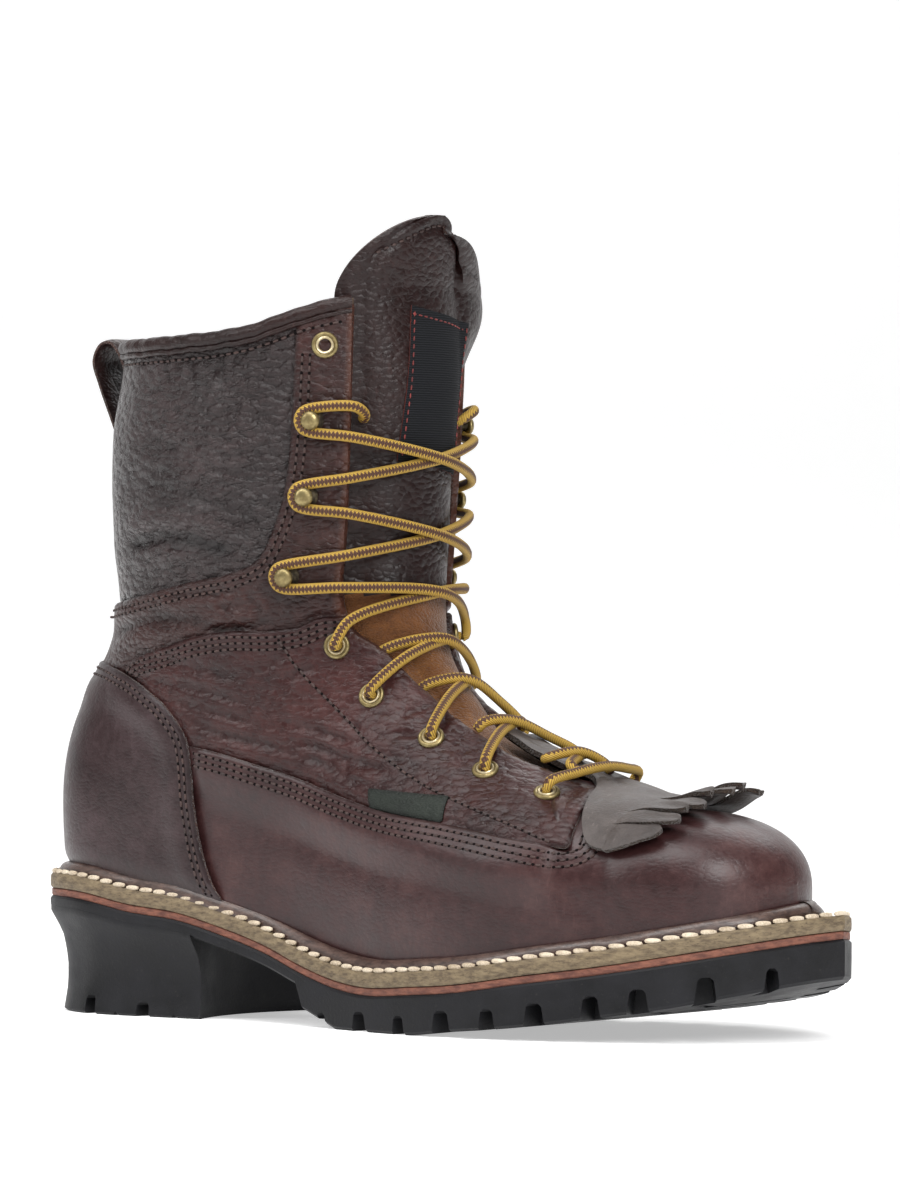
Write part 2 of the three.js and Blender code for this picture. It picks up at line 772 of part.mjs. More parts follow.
// Seam lines in side view, from the back forwards
const counterLine = [
  [0.02, 0.705],
  [0.13, 0.72],
  [0.17, 0.7],
  [0.207, 0.665],
  [0.245, 0.583],
  [0.262, 0.47],
  [0.265, 0.36],
  [0.27, 0.272],
  [0.283, 0.19],
  [0.3, 0.1],
  [0.3, 0],
].map(footSpot);
const quarterTopLine = [
  [0.182, 0.735],
  [0.233, 0.785],
  [0.285, 0.85],
  [0.331, 0.898],
  [0.373, 0.93],
  [0.407, 0.975],
  [0.427, 1.018],
  [0.45, 1.04],
].map(footSpot);
const vampLine = [
  [0.27, 0.49],
  [0.34, 0.52],
  [0.41, 0.525],
  [0.484, 0.518],
  [0.56, 0.48],
  [0.617, 0.432],
  [0.672, 0.393],
  [0.72, 0.357],
  [0.758, 0.325],
].map(footSpot);
const quarterFront = [
  [0.777, 0.345],
  [0.768, 0.4],
  [0.757, 0.455],
  [0.735, 0.52],
  [0.7, 0.72],
].map(footSpot);
const ankleBandLine = [
  [0.387, 1.234],
  [0.368, 1.13],
  [0.339, 1.071],
  [0.29, 1.013],
  [0.167, 0.904],
  [0.026, 0.846],
].map(footSpot);
const facingBackLine = [...[
  [0.79, 1.2],
  [0.782, 1],
  [0.765, 0.74],
].map(shaftSpot), ...ankleBandLine];
const counterSolid = () => panelOn([...counterLine, [0, 0], [aftOfHeel, counterLine[0][1]]], -farSide, farSide);
function quarterOutline(ahead) {
  const rear = counterLine.slice(2, 6).map(([x, z]) => [x + gap, z + gap]);
  const front = quarterFront.map(([x, z]) => [x + ahead, z]);
  return [...quarterTopLine, [pivotX, pivotZ], ...front.reverse(), ...vampLine.slice().reverse(), ...rear.reverse()];
}
const quarterSolid = (side) => drilled(panelOn(quarterOutline(0), nearOf(side, 0), farOf(side, 0)));
function facingSolid(side) {
  const low = shifted([...counterLine.slice(0, 2), ...quarterTopLine], 2 * gap);
  const outline = [...facingBackLine, ...low, [pivotX, pivotZ], [pivotX, 2 * pivotZ]];
  const from = backstayWidth / 2 + gap;
  return drilled(panelOn(outline, nearOf(side, from), farOf(side, from)));
}
const backstayAboveCounter = 1.9;
function backstaySolid() {
  const bottom = counterLine[0][1] + backstayAboveCounter;
  const top = collarLine[0][1] - bindingHeight - gap;
  const middleX = (shaftBack(top) + shaftFront(top)) / 2;
  const outline = [[aftOfHeel, bottom], [middleX, bottom], [middleX, top], [aftOfHeel, top]];
  return panelOn(outline, -backstayWidth / 2, backstayWidth / 2);
}
function bindingSolid() {
  const band = aboveCollar(-bindingHeight).subtract(aboveCollar(panelTop));
  const channel = form(panelTop)
    .subtract(form(-wall - panelTop, capRise))
    .subtract(form(gap).subtract(form(-wall - gap, capRise)).subtract(aboveCollar(gap)));
  const frontX = facingBackLine[1][0] - 2 * gap;
  const behindFacing = sidePrism(
    [[aftOfHeel, 0], [frontX, 0], [frontX, 2 * formTop], [aftOfHeel, 2 * formTop]],
    -farSide,
    farSide,
  );
  return band.intersect(channel).intersect(behindFacing);
}

// Pull loop: height as a share of the shaft, share of the loop's reach behind the backstay
const loopRows = [
  [0.8, 0],
  [0.86, 0.35],
  [0.93, 0.78],
  [0.975, 1],
  [1.005, 0.86],
  [1.008, 0.6],
  [0.98, 0.28],
  [0.93, 0],
];
const loopSteps = 18;
const besideBack = Math.PI - Math.PI / aroundForm;
const facetedBack = (z) => formPoint(2 + (z - pivotZ) / (formTop - pivotZ), besideBack).x;
function loopSolid() {
  const seat = panelTop + gap + loopThickness / 2;
  const path = new THREE.CatmullRomCurve3(
    loopRows.map(([up, out]) => {
      const z = shaftZ(up);
      return new THREE.Vector3(facetedBack(z) - seat - out * loopReach, 0, z);
    }),
  ).getSpacedPoints(loopSteps);
  const side = (sign) =>
    path.map((p, i) => {
      const before = path[Math.max(i - 1, 0)];
      const after = path[Math.min(i + 1, path.length - 1)];
      const along = new THREE.Vector3().subVectors(after, before).normalize();
      const half = (sign * loopThickness) / 2;
      return [p.x - along.z * half, p.z + along.x * half];
    });
  return sidePrism([...side(1), ...side(-1).reverse()], -loopWidth / 2, loopWidth / 2);
}

// Tongue under the throat edges and above the collar
const tongueTop = formTop + tongueRise;
const tongueEnd = 2 + (tongueTop - pivotZ) / (formTop - pivotZ);
const tongueLap = 4.5;
const tongueLean = 0.2;
const tongueFoot = -wall - gap - tongueSlack;
const tongueShoulder = 4;
const tongueWidest = 0.375 * shaftWidth;
const tongueTopFlat = 0.06;
const tongueTopShares = [0.25, 0.5, 0.72, 0.9, 1];
function tongueHalf(station) {
  const level = planeAt(station).z;
  const roundFrom = formTop - tongueShoulder;
  const width = Math.min(throatHalf(Math.min(station, 3)) + tongueLap, tongueWidest);
  if (station <= 2 || level <= roundFrom) return width;
  const share = Math.min((level - roundFrom) / (tongueTop - roundFrom), 1);
  return width * Math.sqrt(Math.max(1 - share * share, tongueTopFlat));
}
const overCollar = (station) => Math.max(0, station - 3) * (formTop - pivotZ);
function tongueSolid() {
  const stations = [
    throatStart - 0.02,
    ...throatStations.slice(1),
    ...tongueTopShares.map((share) => 3 + share * (tongueEnd - 3)),
  ];
  const outerLift = (station) => tongueFoot + overCollar(station) * tongueLean;
  return frontSheet(
    stations,
    (station) => [-tongueHalf(station), tongueHalf(station)],
    6,
    (station) => outerLift(station) - tongueThickness,
    outerLift,
  );
}
// Patch on the tongue: station, outer and inner edge as shares of the shaft width
const patchRows = [
  [2.37, -0.155, 0.208],
  [2.56, -0.138, 0.228],
  [2.75, -0.121, 0.248],
  [2.93, -0.104, 0.267],
];
const patchOuter = curveOf(patchRows, 1);
const patchInner = curveOf(patchRows, 2);
function patchSolid() {
  const lift = tongueFoot + gap + patchSlack;
  return frontSheet(
    patchRows.map((row) => row[0]),
    (station) => [patchOuter(station) * shaftWidth, patchInner(station) * shaftWidth],
    4,
    () => lift,
    () => lift + patchThickness,
  );
}

// Kiltie: station, half width as a share of half the ball width, rise of the free end
const kiltieRows = [
  [stationOf(...footSpot([0.905, 0.3])), 0.34, 3.2],
  [stationOf(...footSpot([0.85, 0.35])), 0.44, 1.4],
  [stationOf(...footSpot([0.795, 0.43])), 0.52, 0.5],
  [stationOf(...footSpot([0.76, 0.5])), 0.52, 0.2],
  [stationOf(...footSpot([0.735, 0.5])), 0.33, 0],
  [stationOf(...footSpot([0.715, 0.55])), 0.175, 0],
  [stationOf(...footSpot([0.66, 0.6])), 0.185, 0],
  [stationOf(...footSpot([0.615, 0.65])), 0.17, 0],
];
const kiltieShare = curveOf(kiltieRows, 1);
const kiltieRise = curveOf(kiltieRows, 2);
const kiltieHalf = (station) => (kiltieShare(station) * ballWidth) / 2;
const kiltieLow = (station) => gap + kiltieSlack + kiltieRise(station);
const fringeStrips = 7;
const fringeSlot = 0.03;
const quarterRoom = 0.5;
const quarterRoomAbove = 1.5;
function kiltieSolid() {
  const sheet = (stations, from, to, columns) =>
    frontSheet(
      stations,
      (station) => [from * kiltieHalf(station), to * kiltieHalf(station)],
      columns,
      kiltieLow,
      (station) => kiltieLow(station) + kiltieThickness,
    );
  const stations = kiltieRows.map((row) => row[0]);
  const body = sheet(stations.slice(2), -1, 1, 6);
  const strips = Array.from({ length: fringeStrips }, (_, i) => {
    const from = -1 + (2 * i) / fringeStrips + fringeSlot;
    const to = -1 + (2 * (i + 1)) / fringeStrips - fringeSlot;
    return sheet(stations.slice(0, 3), from, to, 1);
  });
  const whole = strips.reduce((sum, strip) => sum.add(strip), body);
  const keepOut = panelOn(quarterOutline(quarterRoom), -farSide, farSide, form(panelTop + quarterRoomAbove));
  return whole.subtract(keepOut);
}

// Tag on the outer quarter
const tagOutline = [
  [0.506, 0.567],
  [0.608, 0.525],
  [0.61, 0.475],
  [0.508, 0.52],
].map(footSpot);
const tagSolid = () =>
  form(panelTop + gap + patchThickness)
    .subtract(form(panelTop + gap))
    .intersect(sidePrism(tagOutline, -farSide, -1));

// Eyelets and hooks, made at the origin with +Z out of the leather
function lathed(profile) {
  const geometry = new THREE.LatheGeometry(
    profile.map(([r, z]) => new THREE.Vector2(r, z)),
    metalSides,
  );
  geometry.rotateX(Math.PI / 2);
  return geometryFrom(solidOf(geometry));
}
function geometryFrom(solid) {
  const mesh = solid.getMesh();
  const geometry = new THREE.BufferGeometry();
  const points = new Float32Array(mesh.numVert * 3);
  for (let i = 0; i < mesh.numVert; i++) {
    points.set(mesh.vertProperties.subarray(i * mesh.numProp, i * mesh.numProp + 3), i * 3);
  }
  geometry.setAttribute("position", new THREE.BufferAttribute(points, 3));
  geometry.setIndex(new THREE.BufferAttribute(new Uint32Array(mesh.triVerts), 1));
  geometry.computeVertexNormals();
  return geometry;
}
const barrelLength = metalLift + wall;
const eyeletGeometry = () =>
  lathed([
    [eyeletBore, -barrelLength],
    [eyeletBarrel, -barrelLength],
    [eyeletBarrel, 0],
    [eyeletRadius, 0],
    [0.85 * eyeletRadius, eyeletRim],
    [eyeletBore, 0.6 * eyeletRim],
    [eyeletBore, -barrelLength],
  ]);
const hookGeometry = () =>
  lathed([
    [0, 0],
    [hookBaseRadius, 0],
    [hookBaseRadius, hookBase],
    [hookStemRadius, hookBase],
    [hookStemRadius, hookBase + hookStem],
    [hookHeadRadius, hookBase + hookStem],
    [0.7 * hookHeadRadius, hookBase + hookStem + hookHead],
    [0, hookBase + hookStem + hookHead],
  ]);

// Lace: strands between eyelets and round the hooks
const laceOverEyelet = metalLift + eyeletRim + gap + laceRadius + metalSlack;
const laceOverPanel = panelTop + gap + laceRadius + laceClearance;
const laceOverTongue = 1.3 * laceRadius;
const laceAtHook = metalLift + hookBase + gap + laceRadius + patchSlack;
const laceUnder = tongueFoot + laceRadius + 3 * laceClearance;
const laceOverKiltie = 2 * gap + kiltieSlack + kiltieThickness + laceRadius + laceClearance;
const laceEdgeInset = 3;

// Curve whose steps fall on its own points instead of being evenly long
class PointCurve extends THREE.CatmullRomCurve3 {
  getPointAt(share) {
    return this.getPoint(share);
  }
  getTangentAt(share) {
    return this.getTangent(share);
  }
}
function strand(points) {
  const path = new PointCurve(points, false, "centripetal");
  const section = Array.from({ length: laceSides }, (_, i) => {
    const turn = (i * 2 * Math.PI) / laceSides;
    return new THREE.Vector2(laceRadius * Math.cos(turn), laceRadius * Math.sin(turn));
  });
  const steps = points.length - 1;
  return solidOf(
    new THREE.ExtrudeGeometry(new THREE.Shape(section), { extrudePath: path, steps, bevelEnabled: false }),
  );
}
const between = (a, b, share) => a + (b - a) * share;
const onLace = (station, y, lift) => frontPoint(station, middleY(station) + y, lift);
const overEdge = (station, side, lift) => onLace(station, side * throatHalf(station), lift);
const underEdge = (station, side, lift) =>
  onLace(station, side * (throatHalf(station) - laceEdgeInset), lift);
function bottomBar() {
  const station = eyeletSpots[0][0];
  const spread = 0.12 * ballWidth;
  return strand(
    [
      overSpot(eyeletSpots[0], -1, laceOverEyelet),
      onLace(station - 0.02, -spread, laceOverPanel + 0.6),
      onLace(station - 0.03, 0, laceOverKiltie + 0.6),
      onLace(station - 0.02, spread, laceOverPanel + 0.6),
      overSpot(eyeletSpots[0], 1, laceOverEyelet),
    ],
  );
}
function firstCrossing(side) {
  const from = eyeletSpots[0][0];
  const to = eyeletSpots[1][0];
  return strand(
    [
      underEdge(between(from, to, 0.22), side, laceOverKiltie),
      onLace(between(from, to, 0.5), 0, laceOverKiltie),
      underEdge(between(from, to, 0.78), -side, laceOverKiltie),
    ],
  );
}
function crossing(i, side) {
  const from = eyeletSpots[i][0];
  const to = eyeletSpots[i + 1][0];
  const endLift = i === 1 ? laceOverKiltie - kiltieThickness : laceUnder;
  return strand(
    [
      overSpot(eyeletSpots[i], side, laceOverEyelet + 0.4),
      overEdge(between(from, to, 0.3), side, laceOverPanel),
      onLace(between(from, to, 0.6), 0, laceOverTongue),
      underEdge(between(from, to, 0.88), -side, endLift),
    ],
  );
}
// Half turn of lace round a hook, from below it to above it
const hookTurns = [-95, -137, -180, -223, -265];
function roundHook(i, side) {
  const foot = overSpot(hookSpots[i], side, 0);
  const out = normalAt(foot);
  const up = new THREE.Vector3(0, 0, 1).addScaledVector(out, -out.z).normalize();
  const toThroat = new THREE.Vector3().crossVectors(up, out).multiplyScalar(-side);
  const radius = hookStemRadius + gap + laceRadius + laceClearance;
  return hookTurns.map((degrees) => {
    const turn = THREE.MathUtils.degToRad(degrees);
    return foot
      .clone()
      .addScaledVector(out, laceAtHook)
      .addScaledVector(toThroat, radius * Math.cos(turn))
      .addScaledVector(up, radius * Math.sin(turn));
  });
}
function hookStrand(side) {
  const points = [overSpot(eyeletSpots[4], side, laceOverEyelet)];
  let station = eyeletSpots[4][0];
  let here = side;
  hookSpots.forEach(([next], i) => {
    const edgeLift = laceOverPanel + 0.8;
    points.push(overEdge(between(station, next, 0.25), here, edgeLift));
    points.push(onLace(between(station, next, 0.5), 0, laceOverTongue + 0.5));
    points.push(overEdge(between(station, next, 0.78), -here, edgeLift));
    here = -here;
    points.push(...roundHook(i, here));
    station = next;
  });
  points.push(overEdge(station + 0.05, here, laceOverPanel + 0.6));
  points.push(underEdge(station + 0.01, here, laceUnder + 1.2));
  return strand(points);
}

const leather = (color, roughness) => new THREE.MeshStandardMaterial({ color, roughness });
const metal = (color, roughness) => new THREE.MeshStandardMaterial({ color, roughness, metalness: 1 });
const materials = {
  rubber: leather(0x1c1c1e, 0.7),
  slip: leather(0x6a3526, 0.7),
  welt: leather(0x7a6a55, 0.65),
  board: leather(0x9b8264, 0.8),
  burgundy: leather(0x4a2a2b, 0.42),
  counter: leather(0x453033, 0.4),
  tongue: leather(0x36201f, 0.5),
  grey: leather(0x3a3231, 0.6),
  fabric: leather(0x1f1f21, 0.8),
  brass: metal(0x8a744c, 0.4),
  lace: leather(0xb89a4a, 0.8),
};

const boot = new THREE.Group();
function add(name, geometry, material, placement) {
  const mesh = new THREE.Mesh(geometry, material);
  mesh.name = name;
  if (placement) {
    mesh.position.copy(placement.position);
    mesh.quaternion.copy(placement.quaternion);
  }
  boot.add(mesh);
}
const addSolid = (name, solid, material) => add(name, geometryFrom(solid), material);

addSolid("outsole", outsoleSolid(), materials.rubber);
addSolid("midsole", midsoleSolid(), materials.slip);
addSolid("welt", weltSolid(), materials.welt);
addSolid("insole", insoleSolid(), materials.board);
addSolid("upper", upperSolid(), materials.burgundy);
addSolid("heel_counter", counterSolid(), materials.counter);
addSolid("backstay", backstaySolid(), materials.burgundy);
addSolid("collar_binding", bindingSolid(), materials.burgundy);
addSolid("pull_loop", loopSolid(), materials.burgundy);
addSolid("tongue", tongueSolid(), materials.tongue);
addSolid("tongue_patch", patchSolid(), materials.fabric);
addSolid("kiltie", kiltieSolid(), materials.grey);
addSolid("quarter_tag", tagSolid(), materials.fabric);
Object.entries(sides).forEach(([word, side]) => {
  addSolid("quarter_" + word, quarterSolid(side), materials.burgundy);
  addSolid("facing_" + word, facingSolid(side), materials.burgundy);
  eyeletSpots.forEach((spot, i) => {
    add(`eyelet_${word}_${i + 1}`, eyeletGeometry(), materials.brass, placementOf(spot, side, metalLift));
  });
  hookSpots.forEach((spot, i) => {
    add(`hook_${word}_${i + 1}`, hookGeometry(), materials.brass, placementOf(spot, side, metalLift));
  });
});
addSolid("lace_bar", bottomBar(), materials.lace);
addSolid("lace_crossing_1", firstCrossing(1).add(firstCrossing(-1)), materials.lace);
[1, 2, 3].forEach((i) => {
  addSolid(`lace_crossing_${i + 1}`, crossing(i, 1).add(crossing(i, -1)), materials.lace);
});
addSolid("lace_hooks", hookStrand(1).add(hookStrand(-1)), materials.lace);

// Origin on the floor under the middle of the heel
const heelRestX = heelLength / 2;
boot.position.set(-heelRestX, 0, 0);

export default boot;
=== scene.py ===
from math import cos, pi, radians, sin

import bmesh
import bpy
import numpy as np
from mathutils import Matrix, Vector
from mathutils.bvhtree import BVHTree


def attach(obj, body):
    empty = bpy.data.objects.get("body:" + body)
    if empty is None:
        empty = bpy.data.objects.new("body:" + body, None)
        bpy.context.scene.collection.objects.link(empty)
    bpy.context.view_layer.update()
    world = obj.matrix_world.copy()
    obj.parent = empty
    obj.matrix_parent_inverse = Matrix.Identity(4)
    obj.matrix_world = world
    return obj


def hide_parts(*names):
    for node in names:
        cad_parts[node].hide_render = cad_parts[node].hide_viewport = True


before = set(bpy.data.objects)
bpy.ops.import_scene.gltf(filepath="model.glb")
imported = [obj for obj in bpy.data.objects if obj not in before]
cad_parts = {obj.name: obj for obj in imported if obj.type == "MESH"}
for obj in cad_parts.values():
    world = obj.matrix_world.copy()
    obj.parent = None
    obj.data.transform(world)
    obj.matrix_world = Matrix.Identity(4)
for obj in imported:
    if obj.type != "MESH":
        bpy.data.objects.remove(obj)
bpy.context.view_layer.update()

# Lengths below are in millimetres, with x from the back of the sole. toFrame moves them to the
# frame's metres, whose origin is under the middle of the heel.
bootSizes = {
    "soleLength": 308,
    "ballWidth": 110,
    "heelSeatWidth": 75,
    "heelHeight": 38,
    "foreThickness": 11.5,
    "shankThickness": 4,
    "toeSpring": 20.2,
    "heelLength": 86,
    "midsole": 2.2,
    "welt": 4.7,
    "instepHeight": 112,
    "shaftHeight": 175.6,
    "shaftDepth": 118,
    "shaftWidth": 92,
    "toeReach": 44.5,
    "heelReach": 33.5,
    "gap": 0.3,
}
soleLength = bootSizes["soleLength"]
ballWidth = bootSizes["ballWidth"]
heelSeatWidth = bootSizes["heelSeatWidth"]
shaftWidth = bootSizes["shaftWidth"]
instepHeight = bootSizes["instepHeight"]
gap = bootSizes["gap"]
outer, inner = -1, 1


def toFrame(points):
    return (np.asarray(points, float) - [bootSizes["heelLength"] / 2, 0, 0]) / 1000


def curveOf(rows, index):
    xs = np.array([row[0] for row in rows], float)
    ys = np.array([row[index] for row in rows], float)
    step = np.diff(xs)
    rise = np.diff(ys) / step
    slope = np.empty(len(xs))
    slope[0], slope[-1] = rise[0], rise[-1]
    slope[1:-1] = (step[1:] * rise[:-1] + step[:-1] * rise[1:]) / (step[:-1] + step[1:])
    dense = np.linspace(xs[0], xs[-1], 1601)
    i = np.clip(np.searchsorted(xs, dense, side="right") - 1, 0, len(xs) - 2)
    span = xs[i + 1] - xs[i]
    t = (dense - xs[i]) / span
    rest = 1 - t
    values = rest * rest * ((1 + 2 * t) * ys[i] + t * span * slope[i])
    values += t * t * ((1 + 2 * rest) * ys[i + 1] - rest * span * slope[i + 1])
    return lambda value: np.interp(value, dense, values)


def smoothStep(value, low, high):
    t = np.clip((value - low) / (high - low), 0, 1)
    return t * t * (3 - 2 * t)


def bell(value, width):
    return np.exp(-((value / width) ** 2))


# The sole's heights and plan
seatRows = [
    [0, 1, 0], [0.115, 0.985, 0], [0.18, 0.86, 0], [0.25, 0.77, 0], [0.305, 0.62, 0],
    [0.37, 0.415, 0], [0.42, 0.215, 0], [0.477, 0.055, 0], [0.52, 0, 0], [0.6, 0, 0.055],
    [0.65, 0, 0.11], [0.745, 0, 0.31], [0.825, 0, 0.475], [0.893, 0, 0.653], [0.951, 0, 0.83],
    [1, 0, 1],
]
treadRows = [
    [0.48, 0], [0.6, 0], [0.65, 0.085], [0.7, 0.15], [0.745, 0.22], [0.825, 0.39],
    [0.893, 0.56], [0.95, 0.76], [1, 0.955],
]
seatHeel, seatSpring, treadShare = curveOf(seatRows, 1), curveOf(seatRows, 2), curveOf(treadRows, 1)


def rubberTop(x):
    share = np.asarray(x, float) / soleLength
    rise = bootSizes["heelHeight"] - bootSizes["foreThickness"]
    spring = seatSpring(share) * bootSizes["toeSpring"]
    return bootSizes["foreThickness"] + seatHeel(share) * rise + spring


def midsoleTop(x):
    return rubberTop(x) + gap + bootSizes["midsole"]


def weltTop(x):
    return midsoleTop(x) + gap + bootSizes["welt"]


def treadZ(x):
    return np.maximum(treadShare(np.asarray(x, float) / soleLength), 0) * bootSizes["toeSpring"]


outerEdgeRows = [
    [0.02, heelSeatWidth, 0.45], [0.05, heelSeatWidth, 0.72], [0.1, heelSeatWidth, 0.93],
    [0.15, heelSeatWidth, 0.99], [0.245, heelSeatWidth, 0.99], [0.34, heelSeatWidth, 1],
    [0.42, ballWidth, 0.745], [0.49, ballWidth, 0.84], [0.55, ballWidth, 0.935],
    [0.617, ballWidth, 1.01], [0.68, ballWidth, 1.036], [0.747, ballWidth, 1.018],
    [0.81, ballWidth, 0.945], [0.877, ballWidth, 0.8], [0.925, ballWidth, 0.62],
    [0.962, ballWidth, 0.41], [0.987, ballWidth, 0.16],
]
innerEdgeRows = [
    [0.987, ballWidth, 0.29], [0.955, ballWidth, 0.49], [0.91, ballWidth, 0.72],
    [0.845, ballWidth, 0.88], [0.78, ballWidth, 0.955], [0.73, ballWidth, 0.965],
    [0.68, ballWidth, 0.925], [0.617, ballWidth, 0.82], [0.55, ballWidth, 0.675],
    [0.49, ballWidth, 0.565], [0.42, ballWidth, 0.53], [0.34, heelSeatWidth, 0.83],
    [0.245, heelSeatWidth, 0.93], [0.15, heelSeatWidth, 0.99], [0.1, heelSeatWidth, 0.93],
    [0.05, heelSeatWidth, 0.72], [0.02, heelSeatWidth, 0.45],
]


def softLine(points, perSpan=8, closed=False):
    # centripetal curve through the points
    p = np.asarray(points, float)
    if closed:
        p = np.vstack([p[-1], p, p[0], p[1]])
    else:
        p = np.vstack([2 * p[0] - p[1], p, 2 * p[-1] - p[-2]])
    made = []
    for i in range(1, len(p) - 2):
        p0, p1, p2, p3 = p[i - 1], p[i], p[i + 1], p[i + 2]
        d0, d1, d2 = (max(np.linalg.norm(b - a), 1e-6) ** 0.5 for a, b in ((p0, p1), (p1, p2), (p2, p3)))
        t1 = ((p1 - p0) / d0 - (p2 - p0) / (d0 + d1) + (p2 - p1) / d1) * d1
        t2 = ((p2 - p1) / d1 - (p3 - p1) / (d1 + d2) + (p3 - p2) / d2) * d1
        t = np.linspace(0, 1, perSpan, endpoint=False)[:, None]
        c2, c3 = -3 * p1 + 3 * p2 - 2 * t1 - t2, 2 * p1 - 2 * p2 + t1 + t2
        made.append(p1 + t1 * t + c2 * t**2 + c3 * t**3)
    if not closed:
        made.append(p[-2][None])
    return np.vstack(made)


def evenly(points, count=None, pitch=None, closed=False):
    p = np.asarray(points, float)
    if closed:
        p = np.vstack([p, p[:1]])
    run = np.concatenate([[0], np.cumsum(np.linalg.norm(np.diff(p, axis=0), axis=1))])
    if count is None:
        count = max(int(round(run[-1] / pitch)), 2) + (0 if closed else 1)
    at = np.linspace(0, run[-1], count, endpoint=not closed)
    return np.stack([np.interp(at, run, p[:, k]) for k in range(p.shape[1])], axis=1)


toeTipShare = 0.11
planKnots = (
    [[0, 0]]
    + [[a * soleLength, -share * width / 2] for a, width, share in outerEdgeRows]
    + [[soleLength, toeTipShare * ballWidth / 2]]
    + [[a * soleLength, share * width / 2] for a, width, share in innerEdgeRows]
)


def inwardOf(ring):
    along = np.roll(ring, -1, 0) - np.roll(ring, 1, 0)
    along /= np.linalg.norm(along, axis=1)[:, None]
    return np.stack([-along[:, 1], along[:, 0]], axis=1)


# The upper's form
footTable = [
    [0.14, heelSeatWidth, 0.867, 0.867, 0.3, 0.72, 2.15],
    [0.243, heelSeatWidth, 0.893, 0.84, 0.303, 0.91, 2.1],
    [0.341, heelSeatWidth, 0.92, 0.76, 0.303, 1.07, 2.0],
    [0.422, ballWidth, 0.673, 0.5, 0.293, 1.105, 1.9],
    [0.487, ballWidth, 0.745, 0.527, 0.28, 0.995, 1.9],
    [0.552, ballWidth, 0.836, 0.6, 0.262, 0.833, 1.95],
    [0.617, ballWidth, 0.9, 0.69, 0.24, 0.7, 2.0],
    [0.682, ballWidth, 0.918, 0.755, 0.232, 0.607, 2.1],
    [0.747, ballWidth, 0.864, 0.736, 0.225, 0.52, 2.25],
    [0.812, ballWidth, 0.745, 0.645, 0.228, 0.45, 2.35],
]
footRows = []
for along, width, outShare, inShare, widest, top, power in footTable:
    seat = float(rubberTop(along * soleLength))
    half = width / 2
    heights = [seat + widest * instepHeight, seat + top * instepHeight]
    footRows.append([along * soleLength, outShare * half, inShare * half, *heights, power])
outerHalf, innerHalf, widestZ, crownZ, squareness = (curveOf(footRows, k) for k in range(1, 6))
heelStation, toeStation = footRows[0][0], footRows[-1][0]
toeTip = toeStation + bootSizes["toeReach"]
heelSeatZ = bootSizes["heelHeight"] + bootSizes["midsole"] + bootSizes["welt"]


def shaftZ(share):
    return heelSeatZ + share * bootSizes["shaftHeight"]


shaftTable = [
    [0.085, 0.078, 0.983, 0.696], [0.256, 0.0877, 1.008, 0.761], [0.427, 0.1023, 0.996, 0.837],
    [0.598, 0.1088, 0.996, 0.924], [0.769, 0.1104, 1, 0.978], [0.94, 0.12, 0.983, 1],
    [1.111, 0.133, 0.958, 1.01],
]
shaftRows = [
    [
        shaftZ(up), back * soleLength, back * soleLength + depth * bootSizes["shaftDepth"],
        half * shaftWidth / 2,
    ]
    for up, back, depth, half in shaftTable
]
shaftBack, shaftFront, shaftHalf = (curveOf(shaftRows, k) for k in range(1, 4))
formShape = {
    "capPower": 2.05, "shaftPower": 2.2, "blend": 16, "footDrop": 0.625, "footScale": 0.336,
    "shaftScale": 0.52,
}


def formField(x, y, z):
    # below zero inside the form, above zero outside it
    at = np.clip(x, heelStation, toeStation)
    ahead = np.maximum(x - toeStation, 0) / bootSizes["toeReach"]
    behind = np.maximum(heelStation - x, 0) / bootSizes["heelReach"]
    out, within = outerHalf(at), innerHalf(at)
    side = np.abs(y - (within - out) / 2) / ((out + within) / 2)
    cap = formShape["capPower"]
    flat = ((ahead + behind) ** cap + side**cap) ** (1 / cap)
    middle = widestZ(at)
    above = (z - middle) / (crownZ(at) - middle)
    drop = np.where(z > middle, above, (middle - z) / (formShape["footDrop"] * instepHeight))
    power = squareness(at)
    foot = ((flat**power + np.abs(drop) ** power) ** (1 / power) - 1) * formShape["footScale"] * ballWidth
    back, front = shaftBack(z), shaftFront(z)
    along = np.abs(x - (back + front) / 2) / ((front - back) / 2)
    across = np.abs(y) / shaftHalf(z)
    power = formShape["shaftPower"]
    shaft = ((along**power + across**power) ** (1 / power) - 1) * formShape["shaftScale"] * shaftWidth
    blend = formShape["blend"]
    mix = np.clip(0.5 + (shaft - foot) / (2 * blend), 0, 1)
    return shaft * (1 - mix) + foot * mix - blend * mix * (1 - mix)


def formNormal(p, step=0.05):
    x, y, z = p[..., 0], p[..., 1], p[..., 2]
    n = np.stack([
        formField(x + step, y, z) - formField(x - step, y, z),
        formField(x, y + step, z) - formField(x, y - step, z),
        formField(x, y, z + step) - formField(x, y, z - step),
    ], axis=-1)
    return n / np.linalg.norm(n, axis=-1)[..., None]


pivotX, pivotZ = 0.61 * soleLength, shaftZ(0.587)
ankleReach, shaftReach = 0.28 * soleLength, 0.312 * soleLength
formTop = shaftZ(1.095)
poleInset, toeSpacing = 0.15, 0.9


